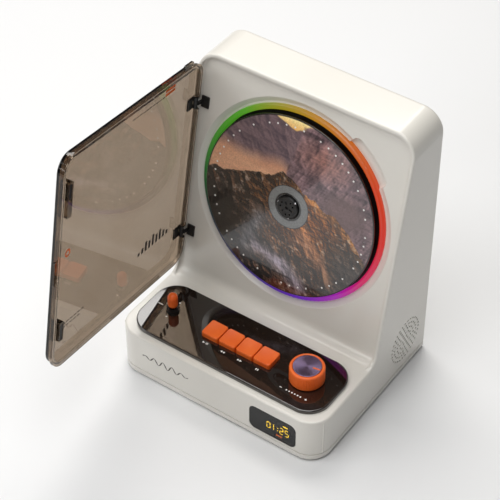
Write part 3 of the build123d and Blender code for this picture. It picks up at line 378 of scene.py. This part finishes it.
ink_tones = (srgb(46, 38, 33), srgb(60, 50, 44))
ink, ink_shader = finish("dark_ink", ink_tones[0], 0.5)
weather(ink, ink_shader, ink_tones, 0.003, (0.45, 0.6), 0.0003, 0.000005)

door_face = 4.4
ink_film = (door_face - 0.05, door_face)
level_heights = (3.0, 5.0, 7.5, 6.0, 8.0, 5.5, 7.0, 4.0, 2.5)
level_start, level_foot, level_width, level_pitch = -57.5, -44.3, 2.3, 4.1
level_bars = [
    bar(left, left + level_width, level_foot, level_foot + height)
    for left, height in zip(level_start + level_pitch * np.arange(len(level_heights)), level_heights)
]
print_marks("door_level_bars", level_bars, on_door, *ink_film, ink, "door", "black_plastic")


def dash_line(left, low, count, width, pitch):
    """The outlines of a row of dashes."""
    dash_height = 0.7
    return [bar(start, start + width, low, low + dash_height) for start in left + pitch * np.arange(count)]


dashes = dash_line(-37.0, 61.0, 10, 2.4, 3.6)
dashes += dash_line(37.0, -47.6, 8, 2.6, 3.9)
dashes += dash_line(41.0, -50.0, 6, 2.6, 3.9)
print_marks("door_dashes", dashes, on_door, *ink_film, ink, "door", "black_plastic")
label_left, label_right, label_foot, label_bar, label_pitch = -48.7, -37.9, 61.2, 1.7, 2.5
label_bars = [
    bar(label_left, label_right, low, low + label_bar) for low in label_foot + label_pitch * np.arange(4)
]
print_marks("door_label", label_bars, on_door, *ink_film, orange, "door", "orange_plastic")
print_ring("door_ring_mark", 58.7, 2.9, 1.5, 2.6, on_door, *ink_film, orange, "door", "orange_plastic")


# Light ring: an opal acrylic light guide lit from behind by coloured lamps, whose colours run round it.
ring_glow, ring_shader = finish("light_guide", srgb(26, 24, 22), 0.35, Coat_Weight=0.1)
ring_shader.inputs["Emission Strength"].default_value = 0.82
ring_place = material_node(ring_glow, "ShaderNodeTexCoord").outputs["Object"]
offset_inputs = {0: ring_place, 1: tuple(disc_centre)}
offset = material_node(ring_glow, "ShaderNodeVectorMath", offset_inputs, operation="SUBTRACT").outputs[0]
along = [
    material_node(ring_glow, "ShaderNodeVectorMath", {0: offset, 1: tuple(axis)}, operation="DOT_PRODUCT")
    for axis in (upslope, rightward)
]
turn_inputs = {0: along[0].outputs["Value"], 1: along[1].outputs["Value"]}
ring_turn = material_node(ring_glow, "ShaderNodeMath", turn_inputs, operation="ARCTAN2").outputs[0]
share_inputs = {0: ring_turn, 1: 0.5 / math.pi, 2: 0.5}
ring_share = material_node(ring_glow, "ShaderNodeMath", share_inputs, operation="MULTIPLY_ADD").outputs[0]
ring_colours = [
    (0.0, srgb(20, 90, 30)),
    (0.06, srgb(8, 40, 34)),
    (0.14, srgb(14, 18, 60)),
    (0.21, srgb(60, 25, 135)),
    (0.29, srgb(95, 30, 175)),
    (0.36, srgb(165, 35, 175)),
    (0.42, srgb(210, 30, 100)),
    (0.5, srgb(212, 24, 14)),
    (0.59, srgb(214, 62, 14)),
    (0.66, srgb(205, 98, 12)),
    (0.73, srgb(192, 132, 14)),
    (0.79, srgb(158, 146, 20)),
    (0.86, srgb(78, 158, 30)),
    (1.0, srgb(20, 90, 30)),
]
ring_colour = ramp(ring_glow, ring_share, ring_colours)
feed(ring_glow, ring_colour, ring_shader.inputs["Emission Color"])
ring_haze = noise(ring_glow, ring_place, 0.0006)
ring_inputs = {"Height": ring_haze, "Strength": 0.3, "Distance": 0.00001}
ring_bump = material_node(ring_glow, "ShaderNodeBump", ring_inputs)
feed(ring_glow, ring_bump.outputs["Normal"], ring_shader.inputs["Normal"])
dress(ring_glow, "light_ring")


# Disc: 1.2 mm polycarbonate with a printed label side under gloss varnish. The print is a mountain scene
# at sunrise, worked out from noise: a sky, a far range, mist, lit ranges and a rocky ridge in front.
def fractal(x, y, size, octaves, seed, ridged=False):
    """Noise from 0 to 1: octaves of random heights on a square grid, joined smoothly, each twice as fine
    and half as strong as the last. Ridged noise folds each octave about its middle into sharp crests."""
    cells = 64
    table = np.random.default_rng(seed).random((cells, cells))
    total = 0.0
    for octave in range(octaves):
        u = x / size * 2**octave + 7.3 * octave + 500
        v = y / size * 2**octave + 3.1 * octave + 500
        i, j = np.floor(u).astype(int), np.floor(v).astype(int)
        s, t = u - i, v - j
        s, t = s * s * (3 - 2 * s), t * t * (3 - 2 * t)
        near, far = table[i % cells], table[(i + 1) % cells]
        near_low, near_high = table[i % cells, j % cells], table[i % cells, (j + 1) % cells]
        far_low, far_high = table[(i + 1) % cells, j % cells], table[(i + 1) % cells, (j + 1) % cells]
        value = (near_low * (1 - s) + far_low * s) * (1 - t) + (near_high * (1 - s) + far_high * s) * t
        if ridged:
            value = 1 - abs(2 * value - 1)
        total = total + value / 2**octave
    return total / (2 - 2 ** (1 - octaves))


def slope_light(x, y, size, seed, reach, gain):
    """Light on the slopes of ridged noise, from 0 in shade to 1 in the sun: how much lower the ground is
    a small reach towards the sun, at the upper right."""
    here = fractal(x, y, size, 6, seed, ridged=True)
    sunward = fractal(x + reach, y + reach * 0.8, size, 6, seed, ridged=True)
    return np.clip(0.5 + gain * (here - sunward), 0, 1)


def mountain_scene(x, y):
    """Colours of the label, 0 to 255, at points in millimetres from the disc's centre. Each layer has a
    skyline, and covers what is behind it below that line."""
    size = 22.0

    def mix(first, second, share):
        share = np.asarray(share)[..., None]
        return np.asarray(first) * (1 - share) + np.asarray(second) * share

    def below(line, softness):
        return np.clip((line - y) / softness + 0.5, 0, 1)

    def jagged(scale, seed):
        return fractal(x, np.zeros_like(x), scale, 5, seed) - 0.5

    # Sky at sunrise, and the far range under it.
    picture = mix((232, 160, 80), (255, 232, 160), np.clip((y - 50) / 9, 0, 1))
    far_light = slope_light(x + 0.4 * y, y, size, 11, 1.2, 2.2)
    far_range = mix((54, 46, 58), (150, 122, 122), far_light)
    picture = mix(picture, far_range, below(51 + 0.42 * abs(x + 2) + 6 * jagged(14, 12), 0.8))
    # Warm mist in the valley at the left.
    mist = mix((180, 124, 98), (236, 184, 146), fractal(x, y * 2, 16, 4, 13))
    mist_share = below(27 + 9 * jagged(12, 14), 9) * np.clip((4 - x) / 8, 0, 1)
    picture = mix(picture, mist, mist_share)

    # Middle range at the right: sunlit high up, and grey where it runs out into the plain.
    right_light = slope_light(x - 0.5 * y, y, size * 0.8, 15, 1.0, 3.4)
    right_range = mix((46, 36, 42), (170, 136, 140), right_light)
    sunlit = np.clip(1 - np.hypot((x - 20) / 26, (y - 40) / 16), 0, 1) * right_light
    right_range = mix(right_range, (214, 128, 92), 0.6 * sunlit)
    plain = np.clip(1 - np.hypot((x - 38) / 20, (y - 12) / 16), 0, 1)
    right_range = mix(right_range, (104, 82, 82), np.clip(1.6 * plain, 0, 0.85))
    right_share = np.clip((x + 5 - 0.28 * (y - 23) + 8 * jagged(9, 16)) / 2.5, 0, 1)
    picture = mix(picture, right_range, right_share * below(58 + 6 * jagged(12, 17), 1.0))

    # Rocky ridge in front, warm about its middle, with lit crests and pale flecks.
    skyline_x = (-60, -37, -15, -7, 2, 9, 20, 35, 43, 60)
    skyline_y = (4, 10, 17, 23, 19, 13, 10, 5, -1, -18)
    skyline = np.interp(x, skyline_x, skyline_y) + 5 * jagged(6, 18)
    near_light = slope_light(x + 0.35 * y, y, size * 0.55, 19, 0.7, 3.8)
    warmth = np.exp(-(((x - 12) / 30) ** 2) - ((y + 4) / 24) ** 2)
    lit = mix((112, 84, 68), (248, 146, 62), warmth)
    shade = mix((14, 12, 12), (40, 22, 14), warmth)
    near = mix(shade, lit, near_light ** 1.7)
    crest = np.clip(1 - (skyline - y) / 7, 0, 1) * np.clip((x - 2) / 10, 0, 1)
    near = mix(near, (255, 170, 84), 0.85 * crest * near_light)
    flecks = np.clip((fractal(x, y, 2.6, 4, 20) - 0.6) * 9, 0, 1) * near_light
    near = mix(near, (214, 198, 184), 0.6 * flecks)

    def streak(start, end, width, colour, strength):
        """The ridge with a band of snow or scree from one point to another, ragged along its sides."""
        start, end = np.array(start), np.array(end)
        along = np.stack([x, y], axis=-1) - start
        share = np.clip(along @ (end - start) / np.sum((end - start) ** 2), 0, 1)
        gap = along - share[..., None] * (end - start)
        wander = 1 + 1.2 * (fractal(x, y, 7, 4, 21) - 0.5)
        mask = strength * np.exp(-np.sum(gap**2, axis=-1) / (width * wander) ** 2)
        return mix(near, colour, mask * (0.35 + 0.65 * near_light))

    # Snow low down, scree in the gully at the right, and shade at both ends of the ridge.
    near = streak((-19, -36), (0, -41), 4.5, (196, 186, 204), 0.9)
    near = streak((0, -41), (16, -52), 5.0, (188, 178, 196), 0.9)
    near = streak((12, -16), (33, -35), 6.0, (232, 160, 112), 0.8)
    near = streak((-19, -14), (-28, -38), 6.0, (120, 126, 138), 0.75)
    dark_left = np.clip((-24 - x) / 20, 0, 1) * np.clip((2 - y) / 18, 0, 1)
    near = mix(near, (12, 11, 11), 0.75 * dark_left)
    grey_right = np.clip((x - 26) / 16, 0, 1) * np.clip((-6 - y) / 18, 0, 1)
    near = mix(near, mix((40, 38, 37), (92, 84, 80), near_light), 0.8 * grey_right)
    return mix(picture, near, below(skyline, 0.5))


disc_r = 60.0
disc_hole_r = 7.5
disc_front = 0.44
disc_back = disc_front - 1.2
disc_edge = 0.15
label_r = np.linspace(disc_hole_r + disc_edge, disc_r - disc_edge, 112)
edge_r = np.array([disc_r, disc_r, disc_r - disc_edge, disc_hole_r + disc_edge, disc_hole_r, disc_hole_r])
edge_out = np.array(
    [disc_front - disc_edge, disc_back + disc_edge, disc_back, disc_back, disc_back + disc_edge]
    + [disc_front - disc_edge]
)
profile_r = np.concatenate([label_r, edge_r])
profile_out = np.concatenate([np.full(len(label_r), disc_front), edge_out])
disc_sides = 720
disc_turn = np.linspace(0, 2 * math.pi, disc_sides, endpoint=False)[:, None]
disc_x = profile_r * np.cos(disc_turn)
disc_y = profile_r * np.sin(disc_turn)
disc_points = on_tower(disc_x, disc_y, np.broadcast_to(profile_out, disc_x.shape))
label, label_shader = finish("printed_label", srgb(90, 70, 60), 0.22, Coat_Weight=0.8, Coat_Roughness=0.04)
disc = surface("printed_disc", disc_points, label, "spindle")
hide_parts("disc")

scene_colour = mountain_scene(disc_x, disc_y)
radius = np.broadcast_to(profile_r, disc_x.shape)[..., None]
picture_edge_r = 59.2
# Bands round the hole, from the outside in: a dark line, the grey clamping band and the black hub seat.
hole_bands = ((14.4, (22.0, 21.0, 20.0)), (13.9, (118.0, 120.0, 120.0)), (9.3, (12.0, 12.0, 12.0)))
for band_r, band_colour in hole_bands:
    scene_colour = np.where(radius < band_r, np.array(band_colour), scene_colour)
scene_colour = np.where(radius > picture_edge_r, np.array([14.0, 13.0, 12.0]), scene_colour)
screen_gamma = 2.2
linear = (np.clip(scene_colour, 0, 255) / 255) ** screen_gamma
alpha = np.ones((*linear.shape[:2], 1))
picture_layer = disc.data.color_attributes.new("picture", "FLOAT_COLOR", "POINT")
picture_layer.data.foreach_set("color", np.concatenate([linear, alpha], axis=-1).ravel())
polar_layer = disc.data.attributes.new("polar", "FLOAT_VECTOR", "POINT")
turns = np.broadcast_to(disc_turn / (2 * math.pi), disc_x.shape)
polar = np.stack([turns, radius[..., 0], np.zeros_like(disc_x)], axis=-1)
polar_layer.data.foreach_set("vector", polar.ravel())

picture_node = material_node(label, "ShaderNodeAttribute", attribute_name="picture")
label_place = material_node(label, "ShaderNodeTexCoord").outputs["Object"]
crumbs = noise(label, label_place, 0.0009, 6.0)
crumb_shade = ramp(label, crumbs, [(0.3, (0.82, 0.82, 0.82, 1)), (0.7, (1.3, 1.28, 1.26, 1))])
textured = material_node(
    label,
    "ShaderNodeMix",
    {0: 0.8, 6: picture_node.outputs["Color"], 7: crumb_shade},
    data_type="RGBA",
    blend_type="MULTIPLY",
)
feed(label, textured.outputs[2], label_shader.inputs["Base Color"])


def calculate(material, operation, *values):
    """One step of arithmetic in a material."""
    made = material_node(material, "ShaderNodeMath", dict(enumerate(values)), operation=operation)
    return made.outputs[0]


# Ring of white dots printed near the disc's rim: 56 places round it, and some of them are left out.
polar_node = material_node(label, "ShaderNodeAttribute", attribute_name="polar")
polar_parts = material_node(label, "ShaderNodeSeparateXYZ", {0: polar_node.outputs["Vector"]})
dot_count = 56
dot_ring_r = 54.2
dot_r = 0.62
dot_turn = calculate(label, "MULTIPLY", polar_parts.outputs["X"], float(dot_count))
dot_across = calculate(label, "SUBTRACT", calculate(label, "FRACT", dot_turn), 0.5)
dot_across = calculate(label, "MULTIPLY", dot_across, 2 * math.pi * dot_ring_r / dot_count)
dot_out = calculate(label, "SUBTRACT", polar_parts.outputs["Y"], dot_ring_r)
across_squared = calculate(label, "MULTIPLY", dot_across, dot_across)
dot_distance = calculate(label, "MULTIPLY_ADD", dot_out, dot_out, across_squared)
dot_mask = calculate(label, "LESS_THAN", dot_distance, dot_r**2)
which_dot = calculate(label, "FLOOR", dot_turn)
pick = material_node(label, "ShaderNodeTexWhiteNoise", {"W": which_dot}, noise_dimensions="1D")
left_out_share = 0.22
kept = calculate(label, "GREATER_THAN", pick.outputs["Value"], left_out_share)
dot_mask = calculate(label, "MULTIPLY", dot_mask, kept)
dotted = material_node(
    label,
    "ShaderNodeMix",
    {0: dot_mask, 6: textured.outputs[2], 7: srgb(235, 232, 228)},
    data_type="RGBA",
)
feed(label, dotted.outputs[2], label_shader.inputs["Base Color"])
grain_bump = material_node(label, "ShaderNodeBump", {"Height": crumbs, "Strength": 0.1, "Distance": 0.00001})
feed(label, grain_bump.outputs["Normal"], label_shader.inputs["Normal"])


# Control panel: a plate of dark brown acrylic with a polished face, which mirrors the door. Small white
# marks are printed beside the keys, the toggle and the knob.
panel_tones = (srgb(30, 22, 17), srgb(34, 25, 20))
panel, panel_shader = finish("panel_acrylic", panel_tones[0], 0.05, Coat_Weight=1.0, Coat_Roughness=0.01)
weather(panel, panel_shader, panel_tones, 0.05, (0.04, 0.07), 0.003, 0.0000015)
dress(panel, "control_panel")

white_tones = (srgb(226, 224, 220), srgb(240, 238, 234))
# The white ink is given a faint glow of its own, painted light that the printed marks don't have.
white, white_shader = finish("white_ink_painted_glow", white_tones[0], 0.5, Emission_Strength=0.15)
weather(white, white_shader, white_tones, 0.003, (0.45, 0.6), 0.0003, 0.000005)
white_shader.inputs["Emission Color"].default_value = white_tones[0]
panel_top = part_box("control_panel")[1].z / MM
key_boxes = [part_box("button_" + name) for name in ("previous", "play", "next", "stop")]
key_x = [(low.x + high.x) / 2 / MM for low, high in key_boxes]
marks_y = key_boxes[0][0].y / MM - 2.9
mark_half = 0.75


def on_panel(x, y, height):
    """Points in metres from millimetres on the panel's top."""
    return MM * np.stack([x, y, height + panel_top], axis=-1)


def arrow(x, y, half, heading):
    """The outline of a triangle that points right, or left for a heading of -1."""
    tail, tip = x - heading * half, x + heading * half
    return np.array([(tail, y - half), (tip, y), (tail, y + half)])[::heading]


arrow_places = ((0, -1.2, 1), (1, -0.8, -1), (1, 0.9, -1), (2, -0.9, 1), (2, 0.8, 1))
stroke_places = ((0, 0.5, 0.9), (0, 1.4, 1.8), (3, -1.0, -0.4), (3, 0.3, 0.9))
key_marks = [arrow(key_x[key] + x, marks_y, mark_half, heading) for key, x, heading in arrow_places]
key_marks += [
    bar(key_x[key] + left, key_x[key] + right, marks_y - mark_half, marks_y + mark_half)
    for key, left, right in stroke_places
]
knob_low, knob_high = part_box("volume_knob")
knob_x = (knob_low.x + knob_high.x) / 2 / MM
knob_y = (knob_low.y + knob_high.y) / 2 / MM
scale_y = knob_y - 14.7
scale_width, scale_half, scale_pitch = 0.8, 0.5, 2.0
scale_bars = [
    bar(left, left + scale_width, scale_y - scale_half, scale_y + scale_half)
    for left in knob_x - 5.4 + scale_pitch * np.arange(6)
]
sign_half, sign_stroke = 0.8, 0.2
minus_x, plus_x = knob_x - 9.1, knob_x + 8.8
minus_sign, plus_sign = [
    [bar(x - sign_half, x + sign_half, scale_y - sign_stroke, scale_y + sign_stroke)]
    for x in (minus_x, plus_x)
]
plus_sign += [
    bar(plus_x - sign_stroke, plus_x + sign_stroke, scale_y + low, scale_y + high)
    for low, high in ((sign_stroke, sign_half), (-sign_half, -sign_stroke))
]
toggle_low, toggle_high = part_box("toggle_cap")
toggle_x = (toggle_low.x + toggle_high.x) / 2 / MM
toggle_y = (toggle_low.y + toggle_high.y) / 2 / MM
toggle_dot_r = 0.55
toggle_marks = [dot(toggle_x, toggle_y + offset_y, toggle_dot_r) for offset_y in (7.2, -7.0)]
toggle_marks += [bar(toggle_x - 11.6, toggle_x - 8.0, toggle_y - 0.25, toggle_y + 0.25)]
all_marks = key_marks + scale_bars + minus_sign + plus_sign + toggle_marks
print_marks("panel_marks", all_marks, on_panel, 0.0, 0.04, white, "base", "panel_gloss")


# Volume knob: a lacquered sleeve with 72 shallow flutes, pressed on the shaft, and a spun metal cap set
# into its top. The fine circles of the spinning split the light into bright rays.
knob_bottom, knob_top = knob_low.z / MM, knob_high.z / MM
knob_r = (knob_high.x - knob_low.x) / 2 / MM
knob_height = knob_top - knob_bottom
knob_wall = 2.2
boss_r, shaft_hole_r, boss_low = 4.7, 3.05, 5.6
cap_seat, shaft_hole_end = 9.8, 7.0
cap_r = 8.9
rim = 1.1
sleeve_r = [boss_r, knob_r - knob_wall, knob_r - knob_wall, knob_r - 0.3, knob_r, knob_r]
sleeve_z = [boss_low, boss_low, 0.1, 0.0, 0.3, 1.2]
climb = np.linspace(1.5, knob_height - rim, 10)
sleeve_r += [knob_r] * len(climb)
sleeve_z += climb.tolist()
bend = np.linspace(0.15, math.pi / 2, 7)
sleeve_r += (knob_r - rim + rim * np.cos(bend)).tolist()
sleeve_z += (knob_height - rim + rim * np.sin(bend)).tolist()
sleeve_r += [cap_r + 0.1, cap_r + 0.05, cap_r + 0.05, shaft_hole_r, shaft_hole_r, boss_r]
sleeve_z += [knob_height, knob_height - 0.1, cap_seat, cap_seat, shaft_hole_end, 6.0]
sleeve_r, sleeve_z = np.array(sleeve_r), np.array(sleeve_z)
flutes = 72
knob_turn = np.linspace(0, 2 * math.pi, flutes * 8, endpoint=False)[:, None]
on_side = (sleeve_r > knob_r - 0.35) & (sleeve_z > 0.9)
flute_depth = 0.09 * on_side * (1 - np.cos(flutes * knob_turn))
fluted_r = sleeve_r - flute_depth
sleeve_points = MM * np.stack(
    [
        knob_x + fluted_r * np.cos(knob_turn),
        knob_y + fluted_r * np.sin(knob_turn),
        np.broadcast_to(knob_bottom + sleeve_z, fluted_r.shape),
    ],
    axis=-1,
)
sleeve = surface("knob_sleeve", sleeve_points, orange, "volume")
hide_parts("volume_knob")

cap_low, cap_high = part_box("knob_cap")
cap_bottom, cap_top = cap_low.z / MM, cap_high.z / MM
cap_sides, cap_middle_r, dish_depth = 160, 0.02, 0.12
dish_r = np.linspace(cap_middle_r, cap_r - 0.3, 60)
dish_z = cap_top - dish_depth * (1 - (dish_r / cap_r) ** 2)
cap_profile_r = np.concatenate([dish_r, [cap_r - 0.05, cap_r, cap_r, cap_middle_r]])
cap_profile_z = np.concatenate([dish_z, [cap_top - 0.05, cap_top - 0.15, cap_bottom, cap_bottom]])
cap_turn = np.linspace(0, 2 * math.pi, cap_sides, endpoint=False)[:, None]
cap_points = MM * np.stack(
    [
        knob_x + cap_profile_r * np.cos(cap_turn),
        knob_y + cap_profile_r * np.sin(cap_turn),
        np.broadcast_to(cap_profile_z, (cap_sides, len(cap_profile_z))),
    ],
    axis=-1,
)
spun_tones = (srgb(96, 82, 112), srgb(136, 120, 148))
spun, spun_shader = finish("spun_metal", spun_tones[0], 0.24, Metallic=1.0, Anisotropic=0.95)
cap = surface("spun_cap", cap_points, spun, "volume")
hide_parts("knob_cap")
cap_uv = cap.data.uv_layers.new(name="spin")
cap_columns = len(cap_profile_r)
loop_points = np.zeros(len(cap.data.loops), dtype=np.int32)
cap.data.loops.foreach_get("vertex_index", loop_points)
spin_turn = loop_points // cap_columns / cap_sides
loops_by_face = spin_turn.reshape(-1, 4)
wrapped = loops_by_face.max(axis=1, keepdims=True) - loops_by_face > 0.5
spin_turn = (loops_by_face + wrapped).ravel()
spin_r = cap_profile_r[loop_points % cap_columns] / cap_r
cap_uv.data.foreach_set("uv", np.stack([spin_turn, spin_r], axis=-1).ravel())

spin_map = material_node(spun, "ShaderNodeUVMap", uv_map="spin")
spin_parts = material_node(spun, "ShaderNodeSeparateXYZ", {0: spin_map.outputs["UV"]})
rings_inputs = {"W": spin_parts.outputs["Y"], "Scale": 90.0, "Detail": 2.0}
spin_rings = material_node(spun, "ShaderNodeTexNoise", rings_inputs, noise_dimensions="1D").outputs["Fac"]
spin_bump_inputs = {"Height": spin_rings, "Strength": 0.4, "Distance": 0.00004}
spin_bump = material_node(spun, "ShaderNodeBump", spin_bump_inputs)
feed(spun, spin_bump.outputs["Normal"], spun_shader.inputs["Normal"])
spin_tint = ramp(spun, spin_rings, [(0.35, spun_tones[0]), (0.65, spun_tones[1])])
feed(spun, spin_tint, spun_shader.inputs["Base Color"])
tangent = material_node(spun, "ShaderNodeTangent", direction_type="UV_MAP", uv_map="spin")
feed(spun, tangent.outputs["Tangent"], spun_shader.inputs["Tangent"])


# Display: a dark tinted window over a segment module. The time, a level bar and a mode mark glow on the
# module's face, and shine through the tint.
tint_tones = (srgb(50, 48, 47), srgb(56, 54, 53))
tint, tint_shader = finish("window_tint", tint_tones[0], 0.03, Transmission_Weight=1.0, IOR=1.45)
tint_shader.inputs["Specular IOR Level"].default_value = 0.25
weather(tint, tint_shader, tint_tones, 0.03, (0.02, 0.05), 0.002, 0.000001)
dress(tint, "display_window")

amber_tones = (srgb(255, 214, 40), srgb(255, 224, 70))
amber, amber_shader = finish("amber_segments", amber_tones[0], 0.4, Emission_Strength=38.0)
weather(amber, amber_shader, amber_tones, 0.002, (0.3, 0.5), 0.0003, 0.000005)
amber_shader.inputs["Emission Color"].default_value = amber_tones[0]
window_low, window_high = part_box("display_window")
window_x, window_z = window_low.x / MM, window_low.z / MM
module_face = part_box("display_module")[0].y / MM


def on_module(x, z, height):
    """Points in metres from millimetres on the module's face, seen from the front."""
    return MM * np.stack([x, module_face - height, z], axis=-1)


digit_width, digit_height, segment = 2.3, 5.2, 0.52
segment_places = {
    "top": (0, 2, True),
    "middle": (0, 1, True),
    "bottom": (0, 0, True),
    "upper_left": (0, 1, False),
    "lower_left": (0, 0, False),
    "upper_right": (1, 1, False),
    "lower_right": (1, 0, False),
}
digit_segments = {
    0: ("top", "bottom", "upper_left", "lower_left", "upper_right", "lower_right"),
    1: ("upper_left", "lower_left"),
    2: ("top", "middle", "bottom", "upper_right", "lower_left"),
    5: ("top", "middle", "bottom", "upper_left", "lower_right"),
}


def digit(number, left, low):
    """The outlines of one number's lit segments: bars with pointed ends, with a slit between them."""
    outlines = []
    half, slit = segment / 2, 0.12
    for name in digit_segments[number]:
        column, row, lies_flat = segment_places[name]
        length = digit_width if lies_flat else digit_height / 2
        ends = np.array([slit, slit + half, length - slit - half, length - slit])
        run = ends[[0, 1, 2, 3, 2, 1]]
        rise = half * np.array([0, -1, -1, 0, 1, 1])
        along, across = (run, rise) if lies_flat else (-rise, run)
        x = left + along + (0 if lies_flat else column * digit_width)
        z = low + across + row * digit_height / 2
        outlines.append(np.stack([x, z], axis=-1))
    return outlines


digits_left = window_x + 12.4
digits_low = window_z + 5.8
digit_pitch = 3.9
colon_gap = 1.6
clock = digit(0, digits_left, digits_low) + digit(1, digits_left + digit_pitch + 1.0, digits_low)
clock += digit(2, digits_left + 2 * digit_pitch + colon_gap, digits_low)
clock += digit(5, digits_left + 3 * digit_pitch + colon_gap, digits_low)
colon_x = digits_left + 2 * digit_pitch
colon_r, colon_sides = 0.4, 12
clock += [dot(colon_x, digits_low + up, colon_r, colon_sides) for up in (1.4, 3.6)]
level_left = digits_left + 2 * digit_pitch + colon_gap + 2.2
clock += [bar(level_left, level_left + 3.4, digits_low + 7.2, digits_low + 8.2)]
lit_film = (0.02, 0.06)
print_marks("display_digits", clock, on_module, *lit_film, amber, "base", "window_gloss")
mode_left = digits_left + 6.8
mode_low = digits_low - 3.6
mode_width, mode_height, mode_pitch = 1.1, 1.4, 1.5
mode_bars = [
    bar(left, left + mode_width, mode_low, mode_low + mode_height)
    for left in mode_left + mode_pitch * np.arange(3)
]
ember_tones = (srgb(255, 130, 40), srgb(255, 150, 60))
ember, ember_shader = finish("ember_segments", ember_tones[0], 0.4, Emission_Strength=16.0)
weather(ember, ember_shader, ember_tones, 0.002, (0.3, 0.5), 0.0003, 0.000005)
ember_shader.inputs["Emission Color"].default_value = ember_tones[0]
print_marks("display_mode_mark", mode_bars, on_module, *lit_film, ember, "base", "window_gloss")


# Front ornament: one thin line of dark ink that swings like a plucked string, printed low on the front
# where the maker's script would be.
front_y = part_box("display_window")[0].y / MM
line_left, line_right, line_height = -55, -20, 20.4
swing, swings = 2.4, 5
pen_half, pen_change = 0.3, 0.12
line_steps = 180
line_x = np.linspace(line_left, line_right, line_steps)
line_turn = (line_x - line_left) / (line_right - line_left)
swell = np.sin(math.pi * line_turn) ** 0.7
line_z = line_height + swing * swell * np.sin(2 * math.pi * swings * line_turn)
pen = pen_half + pen_change * np.cos(2 * math.pi * 2 * swings * line_turn)
drift = np.gradient(np.stack([line_x, line_z], axis=-1), axis=0)
drift /= np.linalg.norm(drift, axis=1, keepdims=True)
side = np.stack([-drift[:, 1], drift[:, 0]], axis=-1) * pen[:, None]
ink_lift = 0.03
corners = [(1, 0.0), (1, ink_lift), (-1, ink_lift), (-1, 0.0)]
ribbon = np.stack(
    [
        np.stack(
            [
                line_x + way * side[:, 0],
                np.full(line_steps, front_y - lift),
                line_z + way * side[:, 1],
            ],
            axis=-1,
        )
        for way, lift in corners
    ],
    axis=1,
)
surface("front_wave", MM * ribbon, ink, "base", wrap_u=False)
